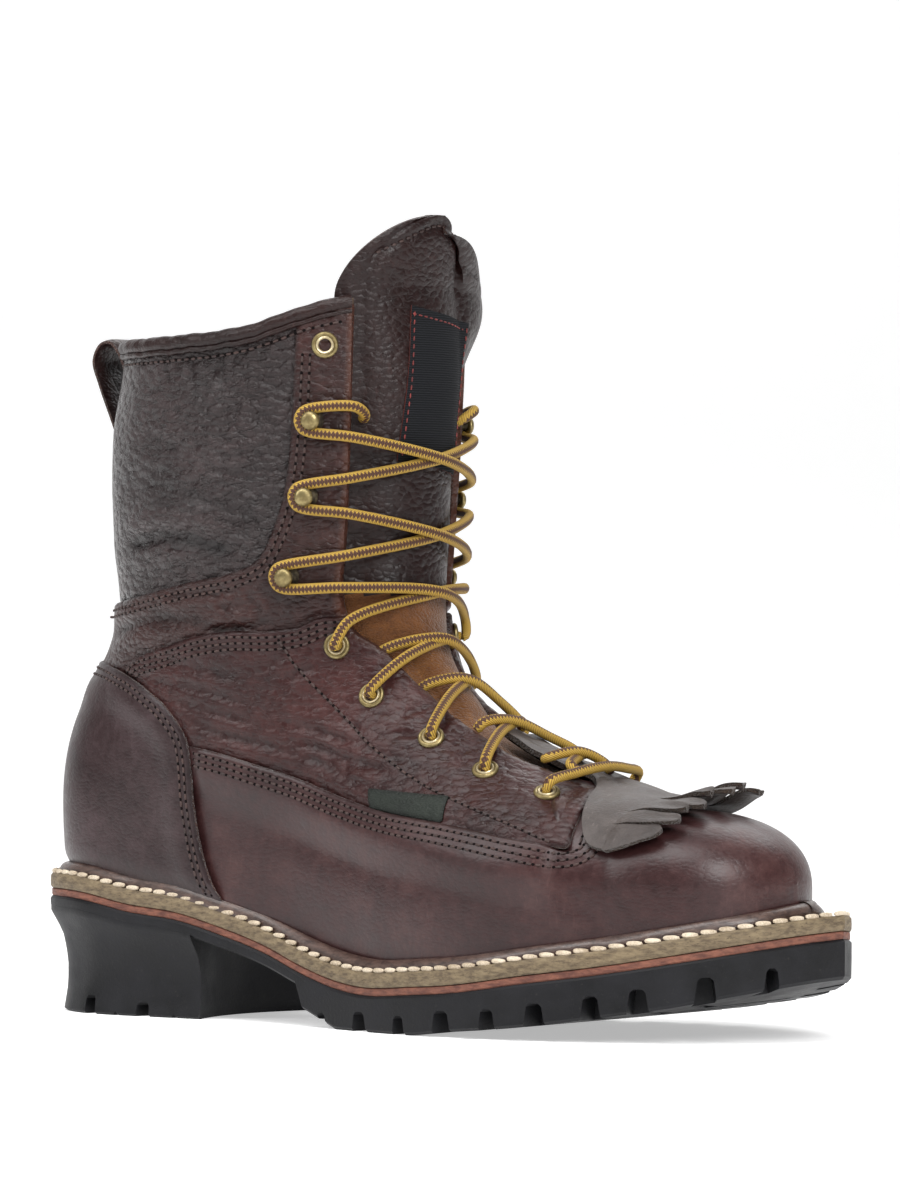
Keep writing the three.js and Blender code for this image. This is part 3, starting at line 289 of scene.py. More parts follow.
def planeAt(station):
    s = np.asarray(station, float)
    span = toeTip - poleInset - pivotX
    share = (1 - np.cos(np.clip(s, 0, 1) * pi / 2)) ** toeSpacing
    toeX = toeTip - poleInset - span * share
    toeZ = widestZ(toeX) + 0.03 * instepHeight + 0.15 * instepHeight * share**1.5
    turn = np.clip(s - 1, 0, 1) * pi / 2
    reach = ankleReach + (shaftReach - ankleReach) * np.clip(s - 1, 0, 1)
    fanX, fanZ = pivotX - reach * np.sin(turn), pivotZ - reach * np.cos(turn)
    up = np.maximum(s - 2, 0) * (formTop - pivotZ)
    x = np.where(s <= 1, toeX, fanX)
    z = np.where(s <= 1, toeZ, fanZ + up)
    return x, z, np.where(s <= 1, 0, np.sin(turn)), np.where(s <= 1, 1, np.cos(turn))


def stationOf(x, z):
    if x >= pivotX:
        share = (toeTip - poleInset - x) / (toeTip - poleInset - pivotX)
        return float(np.arccos(1 - share ** (1 / toeSpacing)) * 2 / pi)
    if z <= pivotZ:
        return float(1 + np.arctan2(pivotX - x, pivotZ - z) * 2 / pi)
    return float(2 + (z - pivotZ) / (formTop - pivotZ))


def formPoints(stations, angles):
    s, a = np.meshgrid(stations, angles, indexing="ij")
    x, z, ex, ez = planeAt(s)
    dx, dy, dz = ex * np.cos(a), np.sin(a), ez * np.cos(a)
    low, high = np.zeros_like(s), np.full_like(s, soleLength / 2)
    for _ in range(24):
        middle = (low + high) / 2
        within = formField(x + dx * middle, dy * middle, z + dz * middle) < 0
        low, high = np.where(within, middle, low), np.where(within, high, middle)
    return np.stack([x + dx * low, dy * low, z + dz * low], axis=-1)


# One fine grid of the whole form, which every panel is cut from
gridSizes = {"toeRows": 74, "fanRows": 150, "shaftRows": 108, "around": 320, "topStation": 3.36}
stations = np.concatenate([
    np.linspace(0, 1, gridSizes["toeRows"], endpoint=False),
    np.linspace(1, 2, gridSizes["fanRows"], endpoint=False),
    np.linspace(2, gridSizes["topStation"], gridSizes["shaftRows"]),
])
around = gridSizes["around"]
angles = -pi + 2 * pi * np.arange(around) / around
gridP = formPoints(stations, angles)
polePoint = gridP[0].mean(0) + [poleInset, 0, 0]
stations = np.concatenate([[-0.02, -0.01, -0.005], stations])
poleRings = [polePoint + (gridP[0] - polePoint) * [1 - (1 - k * k) ** 0.5, k, k] for k in (0, 0.35, 0.7)]
gridP = np.concatenate([np.array(poleRings), gridP])
gridN = formNormal(gridP)
gridN[0] = [1, 0, 0]
gridS = np.repeat(stations[:, None], around, axis=1)
gridX, gridY, gridZ = gridP[..., 0], gridP[..., 1], gridP[..., 2]
print("form grid", gridP.shape)

frontColumns = np.nonzero(np.abs(angles) < pi / 2 - 0.01)[0]


def onFront(station, y, lift=0.0):
    # point on the front or top of the form at one station and one y
    i = int(np.clip(np.searchsorted(stations, station) - 1, 0, len(stations) - 2))
    t = (station - stations[i]) / (stations[i + 1] - stations[i])
    p = gridP[i, frontColumns] * (1 - t) + gridP[i + 1, frontColumns] * t
    n = gridN[i, frontColumns] * (1 - t) + gridN[i + 1, frontColumns] * t
    point = np.array([np.interp(y, p[:, 1], p[:, k]) for k in range(3)])
    normal = np.array([np.interp(y, p[:, 1], n[:, k]) for k in range(3)])
    normal /= np.linalg.norm(normal)
    return point + normal * lift, normal


def onSide(x, z, side):
    # points on one side of the form at places given in side view
    x, z = np.asarray(x, float), np.asarray(z, float)
    far, near = np.full_like(x, 75.0 * side), np.full_like(x, -4.0)
    for _ in range(26):
        middle = (far + near) / 2
        within = formField(x, middle, z) < 0
        near, far = np.where(within, middle, near), np.where(within, far, middle)
    return np.stack([x, near, z], axis=-1)


def footSpot(spot):
    x = spot[0] * soleLength
    return [x, float(rubberTop(x)) + spot[1] * instepHeight]


def shaftSpot(spot):
    z = shaftZ(spot[1])
    return [float(shaftBack(z) + spot[0] * (shaftFront(z) - shaftBack(z))), z]


# Seam lines in side view
collarLine = softLine([shaftSpot(s) for s in [
    [-0.3, 0.998], [0.35, 0.998], [0.64, 1.014], [0.83, 1.055], [0.93, 1.07], [1.3, 1.072],
]])
counterLine = softLine([
    [-9, 112], [18, 114.5], [36.6, 114.8], [54, 111.4], [64.4, 107], [73.4, 101.5], [80.4, 94.1],
    [82.8, 88.7],
    [83.9, 80.6], [84.5, 71.2], [86.5, 58.9], [90, 47.6], [95.5, 36], [97, 20],
])
quarterTopLine = softLine([footSpot(s) for s in [
    [0.165, 0.69], [0.182, 0.735], [0.233, 0.785], [0.285, 0.85], [0.331, 0.898],
    [0.373, 0.93], [0.407, 0.975], [0.427, 1.018], [0.45, 1.04],
]])
vampLine = softLine([
    [60, 91.5], [82.4, 89], [95.2, 86.9], [110.3, 83.2], [125.4, 79.3], [142.9, 74.2], [167, 68.7],
    [191.8, 65.2],
    [206.3, 63], [219.5, 60.8], [232.5, 59.3], [237.5, 59],
])
quarterFrontLine = softLine([
    [237.5, 58.2], [237, 61], [235.4, 67.1], [233, 71.9], [229.1, 75.5], [222.6, 79], [212, 95],
])
ankleBandLine = softLine(
    [shaftSpot(s) for s in [[0.79, 1.2], [0.782, 1], [0.765, 0.74]]]
    + [footSpot(s) for s in [
        [0.387, 1.234], [0.368, 1.13], [0.339, 1.071], [0.29, 1.013], [0.167, 0.904], [0.026, 0.846],
        [-0.06, 0.84],
    ]]
)


def lineDistance(x, z, line):
    # distance to a line in side view, and how far along it the nearest place is, from 0 to 1
    line = np.asarray(line, float)
    best, where = np.full(x.shape, 1e9), np.zeros(x.shape)
    run = np.concatenate([[0], np.cumsum(np.linalg.norm(np.diff(line, axis=0), axis=1))])
    for i in range(len(line) - 1):
        a, d = line[i], line[i + 1] - line[i]
        t = np.clip(((x - a[0]) * d[0] + (z - a[1]) * d[1]) / max(d @ d, 1e-9), 0, 1)
        here = np.hypot(x - a[0] - t * d[0], z - a[1] - t * d[1])
        where = np.where(here < best, (run[i] + t * (run[i + 1] - run[i])) / run[-1], where)
        best = np.minimum(best, here)
    return best, where


def insideOf(x, z, outline):
    # distance inside a closed outline in side view, below zero outside it
    outline = np.asarray(outline, float)
    within = np.zeros(x.shape, bool)
    for a, b in zip(outline, np.roll(outline, -1, 0)):
        crosses = (a[1] > z) != (b[1] > z)
        slope = (b[0] - a[0]) / (b[1] - a[1]) if b[1] != a[1] else 0
        within ^= crosses & (x < a[0] + (z - a[1]) * slope)
    distance, _ = lineDistance(x, z, np.vstack([outline, outline[:1]]))
    return np.where(within, distance, -distance)


def moved(line, dx, dz):
    return np.asarray(line, float) + [dx, dz]


throatRows = [
    [stationOf(*footSpot([0.738, 0.5])), 0.03, -0.05],
    [stationOf(*footSpot([0.732, 0.5])), 0.08, -0.052],
    [stationOf(*footSpot([0.715, 0.55])), 0.115, -0.054],
    [stationOf(*footSpot([0.675, 0.6])), 0.125, -0.055],
    [stationOf(*footSpot([0.595, 0.71])), 0.13, -0.055],
    [stationOf(*footSpot([0.525, 0.86])), 0.138, -0.053],
    [stationOf(*footSpot([0.485, 0.96])), 0.178, -0.048],
    [stationOf(*footSpot([0.457, 1.01])), 0.253, -0.03],
    [stationOf(*footSpot([0.448, 1.1])), 0.29, -0.012],
    [2.05, 0.304, 0],
    [2.5, 0.31, 0],
    [3, 0.315, 0],
]
throatShare, middleShare = curveOf(throatRows, 1), curveOf(throatRows, 2)
throatStart = throatRows[0][0]


def throatHalf(station):
    return throatShare(station) * shaftWidth


def middleY(station):
    return middleShare(station) * ballWidth


facing = np.cos(np.repeat(angles[None], len(stations), axis=0))
throatIn = np.abs(gridY - middleY(gridS)) - throatHalf(gridS)
throatIn = np.where(gridS < throatStart, 60 * (throatStart - gridS) + 2, throatIn)
throatIn = np.where(facing < 0, 40.0, throatIn)
collarZ = np.interp(gridX, collarLine[:, 0], collarLine[:, 1])
collarIn = collarZ - gridZ
floorIn = gridZ - weltTop(gridX)
counterOutline = np.vstack([counterLine, [[counterLine[-1, 0], -40], [-60, -40]]])
vampOutline = np.vstack([vampLine, [
    [233, 62], [229, 67], [221, 74], [212, 90], [212, 110], [380, 110], [380, -60], [60, -60],
]])
underlap = vampLine[::-1] - np.outer(6 * (1 - smoothStep(vampLine[::-1, 0], 214, 234)), [0, 1])
quarterOutline = np.vstack(
    [quarterTopLine, [[pivotX, pivotZ]], quarterFrontLine[::-1], underlap, [[58, 110]]],
)
facingOutline = np.vstack(
    [ankleBandLine, moved(quarterTopLine, 0, -5), [[pivotX, pivotZ], [pivotX, 2 * pivotZ]]],
)
shaftOutline = np.vstack([moved(ankleBandLine, 4, -4), [[-60, 300], [160, 300]]])
counterIn = insideOf(gridX, gridZ, counterOutline)
vampIn = insideOf(gridX, gridZ, vampOutline)
quarterIn = insideOf(gridX, gridZ, quarterOutline)
facingIn = insideOf(gridX, gridZ, facingOutline)
bandIn = insideOf(gridX, gridZ, np.vstack([ankleBandLine, [[-60, 300], [160, 300]]]))
topSeamIn = insideOf(
    gridX, gridZ, np.vstack([quarterTopLine, [[pivotX, pivotZ], [pivotX, -40], [-60, -40], [-60, 100]]]),
)
print("seam distances")


# Meshes
def finishMesh(name, points, faces, materials, faceMaterials=None, sharp=40, attributes=None):
    mesh = bpy.data.meshes.new(name)
    mesh.from_pydata(toFrame(points).tolist(), [], [list(map(int, f)) for f in faces])
    for material in materials:
        mesh.materials.append(material)
    if faceMaterials is not None:
        mesh.polygons.foreach_set("material_index", np.asarray(faceMaterials, np.int32))
    for key, values in (attributes or {}).items():
        mesh.attributes.new(key, "FLOAT", "POINT").data.foreach_set("value", np.asarray(values, np.float32))
    mesh.polygons.foreach_set("use_smooth", np.ones(len(mesh.polygons), bool))
    mesh.set_sharp_from_angle(angle=radians(sharp))
    mesh.update()
    piece = bpy.data.objects.new(name, mesh)
    bpy.context.scene.collection.objects.link(piece)
    return piece


def dress(piece, slot, *nodes):
    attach(piece, "root")
    if nodes:
        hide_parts(*nodes)


def cutPolygon(poly, values, level, keepAbove, crossing):
    made = []
    for i, a in enumerate(poly):
        b = poly[(i + 1) % len(poly)]
        va, vb = values[a] - level, values[b] - level
        if not keepAbove:
            va, vb = -va, -vb
        if va >= 0:
            made.append(a)
        if va * vb < 0:
            made.append(crossing(a, b, level))
    return made


sheetEdge = {"bevel": 0.8, "rounding": 0.4, "snap": 0.06}


def cutSheet(name, columns, inside, lift, thickness, materials, attributes=None, rows=None):
    # closed sheet of leather on the form, cut along the line where inside is zero
    rowIndex = np.arange(len(stations)) if rows is None else np.asarray(rows)
    pick = np.ix_(rowIndex, np.asarray(columns) % around)
    nr, nc = len(rowIndex), len(columns)
    keys = list(attributes or {})
    layers = [gridP[pick].reshape(-1, 3), gridN[pick].reshape(-1, 3)]
    layers += [
        np.broadcast_to(v, gridX.shape)[pick].reshape(-1, 1)
        for v in (lift, thickness, *[attributes[k] for k in keys])
    ]
    data = np.hstack(layers)
    values = inside[pick].reshape(-1).copy()
    bevel = sheetEdge["bevel"]
    values[np.abs(values) < sheetEdge["snap"]] = 0
    values[np.abs(values - bevel) < sheetEdge["snap"]] = bevel
    index = np.arange(nr * nc).reshape(nr, nc)
    if columns[-1] - columns[0] == around:
        index[:, -1] = index[:, 0]
    if rowIndex[0] == 0:
        index[0] = index[0, 0]
    quads = np.stack(
        [index[:-1, :-1], index[:-1, 1:], index[1:, 1:], index[1:, :-1]], axis=-1,
    ).reshape(-1, 4)
    corner = values[quads]
    whole = corner.min(1) >= bevel
    partly = (corner.max(1) > 0) & ~whole
    extraData, extraValues, made = [], [], {}
    listValues = values.tolist()

    def crossing(a, b, level):
        key = (min(a, b), max(a, b), level)
        if key not in made:
            va, vb = listValues[a], listValues[b]
            t = (level - va) / (vb - va)
            rowA = data[a] if a < len(data) else extraData[a - len(data)]
            rowB = data[b] if b < len(data) else extraData[b - len(data)]
            made[key] = len(data) + len(extraData)
            extraData.append(rowA + (rowB - rowA) * t)
            listValues.append(level)
        return made[key]

    polygons = []
    for quad in quads[partly].tolist():
        top = max(listValues[i] for i in quad)
        poly = (
            quad if min(listValues[i] for i in quad) >= 0
            else cutPolygon(quad, listValues, 0, True, crossing)
        )
        if top > bevel:
            parts = [
                cutPolygon(poly, listValues, bevel, True, crossing),
                cutPolygon(poly, listValues, bevel, False, crossing),
            ]
        else:
            parts = [poly]
        for part in parts:
            part = [v for k, v in enumerate(part) if v != part[k - 1]]
            if len(part) > 2 and max(listValues[i] for i in part) > 0:
                polygons.append(part)
    first = int(index[0, 0])
    entire = quads[whole].tolist()
    entire = [[v for k, v in enumerate(q) if v != q[k - 1]] if first in q else q for q in entire]
    polygons = [q for q in entire if len(q) > 2] + polygons
    if extraData:
        data = np.vstack([data, np.array(extraData)])
    values = np.array(listValues)
    used = np.zeros(len(data), bool)
    used[np.concatenate([np.asarray(p) for p in polygons])] = True
    renumber = np.cumsum(used) - 1
    data, values = data[used], values[used]
    polygons = [[int(renumber[i]) for i in p] for p in polygons]
    points, normals = data[:, :3], data[:, 3:6]
    normals = normals / np.linalg.norm(normals, axis=1)[:, None]
    tops, thick = data[:, 6], data[:, 7]
    rounded = tops - sheetEdge["rounding"] * thick * (1 - np.clip(values / bevel, 0, 1)) ** 2
    upper = points + normals * rounded[:, None]
    lower = points + normals * (tops - thick)[:, None]
    first = upper[polygons[len(polygons) // 2]]
    facingOut = np.cross(first[1] - first[0], first[2] - first[0]) @ normals[polygons[len(polygons) // 2][0]]
    if facingOut < 0:
        polygons = [p[::-1] for p in polygons]
    starts = np.concatenate([np.asarray(p) for p in polygons])
    ends = np.concatenate([np.roll(p, -1) for p in polygons])
    size = len(data)
    lone = ~np.isin(ends * size + starts, starts * size + ends)
    faces = polygons + [[i + size for i in p[::-1]] for p in polygons]
    skirts = [[b, a, a + size, b + size] for a, b in zip(starts[lone].tolist(), ends[lone].tolist())]
    kinds = [0] * len(faces) + [min(1, len(materials) - 1)] * len(skirts)
    both = np.concatenate
    marks = {"edge": both([values, values * 0])}
    for k, key in enumerate(keys):
        marks[key] = both([data[:, 8 + k], data[:, 8 + k]])
    return finishMesh(name, np.vstack([upper, lower]), faces + skirts, materials, kinds, attributes=marks)


def sheetOf(name, upper, lower, materials, keep=None):
    # closed sheet between two grids of points; keep says which cells are there
    rows, columns = upper.shape[:2]
    index = np.arange(rows * columns).reshape(rows, columns)
    quads = np.stack([index[:-1, :-1], index[:-1, 1:], index[1:, 1:], index[1:, :-1]], axis=-1)
    quads = quads[keep] if keep is not None else quads.reshape(-1, 4)
    middle = quads[len(quads) // 2]
    up, low = upper.reshape(-1, 3), lower.reshape(-1, 3)
    turn = (
        np.cross(up[middle[1]] - up[middle[0]], up[middle[3]] - up[middle[0]])
        @ (up[middle[0]] - low[middle[0]])
    )
    if turn < 0:
        quads = quads[:, ::-1]
    starts, ends = quads.reshape(-1), np.roll(quads, -1, 1).reshape(-1)
    size = rows * columns
    lone = ~np.isin(ends * size + starts, starts * size + ends)
    faces = quads.tolist() + (quads[:, ::-1] + size).tolist()
    skirts = [[b, a, a + size, b + size] for a, b in zip(starts[lone].tolist(), ends[lone].tolist())]
    kinds = [0] * len(faces) + [min(1, len(materials) - 1)] * len(skirts)
    points = np.vstack([up, low])
    used = np.zeros(len(points), bool)
    used[np.concatenate([np.asarray(f) for f in faces])] = True
    renumber = np.cumsum(used) - 1
    faces = [[int(renumber[i]) for i in f] for f in faces + skirts]
    return finishMesh(name, points[used], faces, materials, kinds)


def turnedOut(piece):
    work = bmesh.new()
    work.from_mesh(piece.data)
    bmesh.ops.recalc_face_normals(work, faces=work.faces)
    work.to_mesh(piece.data)
    work.free()
    return piece


def loftOf(name, rings, materials, closedAlong=False, sharp=40):
    # closed body through rings of equal count
    rings = np.asarray(rings, float)
    count, size = rings.shape[:2]
    points = rings.reshape(-1, 3)
    faces = []
    for i in range(count if closedAlong else count - 1):
        k = (i + 1) % count
        for j in range(size):
            n = (j + 1) % size
            faces.append([i * size + j, i * size + n, k * size + n, k * size + j])
    if not closedAlong:
        faces += [list(range(size))[::-1], [(count - 1) * size + j for j in range(size)]]
    return turnedOut(finishMesh(name, points, faces, materials, sharp=sharp))


# Shaders
def tone(red, green, blue):
    c = np.array([red, green, blue]) / 255
    c = np.where(c <= 0.04045, c / 12.92, ((c + 0.055) / 1.055) ** 2.4)
    return (float(c[0]), float(c[1]), float(c[2]), 1.0)


def node(tree, kind, inputs=None, **settings):
    made = tree.nodes.new(kind)
    for key, value in settings.items():
        setattr(made, key, value)
    for key, value in (inputs or {}).items():
        if isinstance(value, bpy.types.NodeSocket):
            tree.links.new(value, made.inputs[key])
        else:
            made.inputs[key].default_value = value
    return made


def remap(tree, value, low, high, toLow=0.0, toHigh=1.0):
    wanted = {"Value": value, "From Min": low, "From Max": high, "To Min": toLow, "To Max": toHigh}
    return node(tree, "ShaderNodeMapRange", wanted).outputs[0]


def maths(tree, operation, a, b=0.0):
    return node(tree, "ShaderNodeMath", {0: a, 1: b}, operation=operation).outputs[0]


def mixed(tree, factor, a, b):
    return node(tree, "ShaderNodeMix", {0: factor, 6: a, 7: b}, data_type="RGBA").outputs[2]


def noiseOf(tree, vector, scale, detail=4.0, roughness=0.55):
    wanted = {"Vector": vector, "Scale": scale, "Detail": detail, "Roughness": roughness}
    return node(tree, "ShaderNodeTexNoise", wanted).outputs[0]


def groupOf(name, inputs, outputs):
    tree = bpy.data.node_groups.new(name, "ShaderNodeTree")
    for key, value in inputs.items():
        socket = tree.interface.new_socket(key, in_out="INPUT", socket_type="NodeSocketFloat")
        socket.default_value = value
    for key in outputs:
        tree.interface.new_socket(key, in_out="OUTPUT", socket_type="NodeSocketFloat")
    return tree, tree.nodes.new("NodeGroupInput").outputs, tree.nodes.new("NodeGroupOutput").inputs


# Leather surface: large patches, fine mottling, pebbled grain, scuffs, and fine wrinkles whose creases get
# painted shade
hideGroup, given, wanted = groupOf(
    "hideSurface", {"Grain": 900, "Scuffs": 0.5, "Wrinkles": 0.5},
    ["Shade", "Scuff", "Height", "Gloss", "Pinch"],
)
coords = node(hideGroup, "ShaderNodeTexCoord").outputs["Object"]
patches = noiseOf(hideGroup, coords, 34, 5)
mottle = noiseOf(hideGroup, coords, 240, 6, 0.65)
fine = noiseOf(hideGroup, coords, 2600, 3)
warp = node(hideGroup, "ShaderNodeTexNoise", {"Vector": coords, "Scale": 420, "Detail": 2}).outputs[1]
warped = node(
    hideGroup, "ShaderNodeVectorMath", {0: warp, 1: (0.0016, 0.0016, 0.0016)}, operation="MULTIPLY",
).outputs[0]
warped = node(hideGroup, "ShaderNodeVectorMath", {0: coords, 1: warped}, operation="ADD").outputs[0]
flatCells = node(hideGroup, "ShaderNodeMapping", {"Vector": warped, "Scale": (0.62, 0.8, 1.25)}).outputs[0]
cells = node(
    hideGroup, "ShaderNodeTexVoronoi", {"Vector": flatCells, "Scale": given["Grain"]},
).outputs["Distance"]
pebble = maths(
    hideGroup, "SUBTRACT", 1, maths(hideGroup, "MULTIPLY", maths(hideGroup, "MULTIPLY", cells, cells), 1.5),
)
stretch = node(
    hideGroup, "ShaderNodeMapping", {"Vector": coords, "Rotation": (0.3, 0.5, 0.2), "Scale": (1, 0.3, 0.22)},
)
streaks = noiseOf(hideGroup, stretch.outputs[0], 900, 5, 0.7)
scuffed = remap(hideGroup, streaks, 0.56, 0.68)
scuffed = maths(hideGroup, "MULTIPLY", scuffed, remap(hideGroup, patches, 0.48, 0.62))
scuffed = maths(hideGroup, "MULTIPLY", scuffed, given["Scuffs"])
shade = maths(
    hideGroup, "ADD", maths(hideGroup, "MULTIPLY", patches, 0.55),
    maths(hideGroup, "MULTIPLY", mottle, 0.45),
)
height = maths(hideGroup, "ADD", pebble, maths(hideGroup, "MULTIPLY", mottle, 0.6))
tilted = node(
    hideGroup, "ShaderNodeMapping", {"Vector": warped, "Rotation": (0, 0.35, 0), "Scale": (0.55, 0.8, 1.5)},
).outputs[0]
folds = noiseOf(hideGroup, tilted, 165, 2.5, 0.5)
pinch = remap(hideGroup, maths(hideGroup, "ABSOLUTE", maths(hideGroup, "SUBTRACT", folds, 0.5)), 0, 0.055)
pinch = maths(hideGroup, "POWER", pinch, 0.6)
where = remap(hideGroup, noiseOf(hideGroup, coords, 28, 2), 0.38, 0.6, 0.15, 1)
pinch = maths(hideGroup, "MULTIPLY", maths(hideGroup, "SUBTRACT", pinch, 1), where)
pinch = maths(hideGroup, "MULTIPLY", pinch, given["Wrinkles"])
height = maths(hideGroup, "ADD", height, maths(hideGroup, "MULTIPLY", pinch, 1.6))
# the wrinkles' depth, which the hide materials use to paint shade into the creases
hideGroup.links.new(maths(hideGroup, "MULTIPLY", pinch, -1), wanted["Pinch"])
hideGroup.links.new(remap(hideGroup, shade, 0.3, 0.7), wanted["Shade"])
hideGroup.links.new(scuffed, wanted["Scuff"])
hideGroup.links.new(
    maths(hideGroup, "ADD", height, maths(hideGroup, "MULTIPLY", fine, 0.08)), wanted["Height"],
)
hideGroup.links.new(
    maths(hideGroup, "ADD", mottle, maths(hideGroup, "MULTIPLY", scuffed, 0.8)), wanted["Gloss"],
)


def plainMaterial(name, base, roughness=0.6, **sockets):
    made = bpy.data.materials.new(name)
    made.use_nodes = True
    shader = made.node_tree.nodes["Principled BSDF"]
    shader.inputs["Base Color"].default_value = base
    shader.inputs["Roughness"].default_value = roughness
    for key, value in sockets.items():
        shader.inputs[key].default_value = value
    return made, made.node_tree, shader


def hideMaterial(
    name, dark, middle, light, roughness=0.45, grain=900, bump=0.35, scuffs=0.6, coat=0.0, sheen=0.0,
    wrinkles=0.5, rim=None, deep=0.6,
):
    made, tree, shader = plainMaterial(name, tone(*middle), roughness)
    surface = node(tree, "ShaderNodeGroup", node_tree=hideGroup)
    surface.inputs["Grain"].default_value = grain
    surface.inputs["Scuffs"].default_value = scuffs
    surface.inputs["Wrinkles"].default_value = wrinkles
    ramp = node(tree, "ShaderNodeValToRGB", {"Fac": surface.outputs["Shade"]})
    ramp.color_ramp.elements[0].color = tone(*dark)
    ramp.color_ramp.elements[1].color = tone(*light)
    ramp.color_ramp.elements.new(0.5).color = tone(*middle)
    dent = node(tree, "ShaderNodeAttribute", attribute_name="dent").outputs["Fac"]
    edge = node(tree, "ShaderNodeAttribute", attribute_name="edge").outputs["Fac"]
    # painted shade: the colour darkens in the crease troughs, the more the deeper they are (dent below zero)
    color = mixed(
        tree, remap(tree, dent, -0.15, -1.1, 0, 0.6), ramp.outputs[0], tone(*[c * 0.55 for c in dark]),
    )
    # painted highlight, and wear: the colour lightens on the crease ridges (dent above zero)
    color = mixed(tree, remap(tree, dent, 0.2, 1.0, 0, 0.35), color, tone(*light))
    color = mixed(tree, remap(tree, edge, 1.3, 0.2, 0, 0.55), color, tone(*[c * 0.7 for c in dark]))
    # painted shade: the colour is darkened in the fine wrinkles' creases
    color = mixed(
        tree, maths(tree, "MULTIPLY", surface.outputs["Pinch"], 0.4), color, tone(*[c * 0.6 for c in dark]),
    )
    color = mixed(tree, surface.outputs["Scuff"], color, tone(*[min(c * 1.25 + 10, 255) for c in light]))
    if rim:
        inset = node(tree, "ShaderNodeAttribute", attribute_name="rim").outputs["Fac"]
        color = mixed(tree, remap(tree, inset, 2.2, 0.9, 0, 0.9), color, tone(*rim))
    tree.links.new(color, shader.inputs["Base Color"])
    gloss = remap(tree, surface.outputs["Gloss"], 0.3, 1.1, roughness - 0.06, min(roughness + 0.32, 1))
    tree.links.new(gloss, shader.inputs["Roughness"])
    raised = node(
        tree, "ShaderNodeBump",
        {"Strength": bump, "Distance": deep / 1000, "Height": surface.outputs["Height"]},
    )
    tree.links.new(raised.outputs[0], shader.inputs["Normal"])
    shader.inputs["Specular IOR Level"].default_value = 0.24
    shader.inputs["Coat Weight"].default_value = coat
    shader.inputs["Coat Roughness"].default_value = 0.33
    shader.inputs["Sheen Weight"].default_value = sheen
    return made


hides = {
    "vamp": hideMaterial(
        "vampHide", (32, 16, 16), (51, 28, 28), (72, 46, 44), 0.36, 800, 0.14, 0.25, 0.3, wrinkles=0.35,
    ),
    "quarter": hideMaterial(
        "quarterHide", (28, 13, 13), (48, 24, 23), (68, 38, 36), 0.33, 400, 0.7, 0.2, 0.08, wrinkles=0.3,
        rim=(56, 34, 28),
        deep=0.55,
    ),
    "counter": hideMaterial(
        "counterHide", (30, 20, 21), (46, 32, 33), (64, 49, 51), 0.34, 900, 0.12, 0.2, 0.12, wrinkles=0.15,
    ),
    "shaft": hideMaterial(
        "shaftHide", (24, 17, 17), (39, 30, 30), (58, 46, 46), 0.24, 340, 1.0, 0.2, 0.2, wrinkles=0.3,
        deep=1.3,
    ),
    "facing": hideMaterial(
        "facingHide", (26, 13, 12), (45, 25, 23), (65, 40, 37), 0.32, 480, 0.8, 0.2, 0.1, wrinkles=0.3,
        rim=(74, 44, 34),
        deep=0.6,
    ),
    "binding": hideMaterial(
        "bindingHide", (26, 14, 13), (42, 24, 22), (60, 38, 35), 0.34, 900, 0.3, 0.2, 0.08,
    ),
    "lining": hideMaterial("liningHide", (60, 46, 36), (88, 68, 52), (108, 86, 66), 0.75, 900, 0.3, 0.3),
    "raw": hideMaterial("rawEdge", (36, 20, 16), (74, 44, 34), (104, 64, 50), 0.85, 1800, 0.9, 0.3, 0, 0.2),
    # the tongue's colours are set darker partly as painted shade, standing for the shade on the tongue's top
    "tongue": hideMaterial(
        "tongueHide", (22, 8, 7), (37, 15, 13), (54, 27, 24), 0.36, 480, 0.5, 0.25, 0.1, wrinkles=0.3,
        deep=0.6,
    ),
    "nubuck": hideMaterial(
        "tongueNubuck", (92, 54, 26), (140, 88, 44), (168, 116, 64), 0.85, 1600, 0.6, 0.3, 0, 0.3,
    ),
    "kiltie": hideMaterial(
        "kiltieHide", (62, 56, 54), (96, 88, 85), (124, 115, 111), 0.45, 1600, 0.15, 0.4, wrinkles=0.3,
    ),
    "kiltieEdge": hideMaterial(
        "kiltieEdge", (40, 30, 24), (68, 52, 41), (96, 76, 60), 0.9, 1800, 0.8, 0.3, 0, 0.2,
    ),
    "tag": hideMaterial(
        "tagHide", (20, 24, 21), (32, 37, 32), (46, 51, 45), 0.5, 1500, 0.3, 0.2, wrinkles=0,
    ),
    "insole": hideMaterial(
        "insoleBoard", (104, 80, 54), (134, 106, 74), (156, 128, 92), 0.8, 1400, 0.4, 0.4,
    ),
}


def threadMaterial(name, dark, light, roughness=0.6):
    made, tree, shader = plainMaterial(name, tone(*dark), roughness)
    coords = node(tree, "ShaderNodeTexCoord").outputs["Object"]
    wave = noiseOf(tree, coords, 1900, 3, 0.7)
    patchy = noiseOf(tree, coords, 120, 3)
    both = maths(tree, "ADD", maths(tree, "MULTIPLY", wave, 0.5), maths(tree, "MULTIPLY", patchy, 0.5))
    tree.links.new(
        mixed(tree, remap(tree, both, 0.38, 0.6), tone(*dark), tone(*light)), shader.inputs["Base Color"],
    )
    raised = node(tree, "ShaderNodeBump", {"Strength": 0.5, "Distance": 0.0003, "Height": wave})
    tree.links.new(raised.outputs[0], shader.inputs["Normal"])
    return made


threads = {
    "brown": threadMaterial("brownThread", (38, 24, 22), (66, 45, 40)),
    # painted shade: near-black for the shade inside the needle holes
    "hole": plainMaterial("needleHole", tone(14, 9, 9), 0.9, **{"Specular IOR Level": 0.1})[0],
    "badge": threadMaterial("badgeThread", (84, 26, 26), (130, 48, 44)),
    "cream": threadMaterial("creamThread", (158, 140, 116), (216, 202, 180), 0.7),
    "red": threadMaterial("redThread", (70, 28, 24), (104, 44, 36)),
}
print("materials")

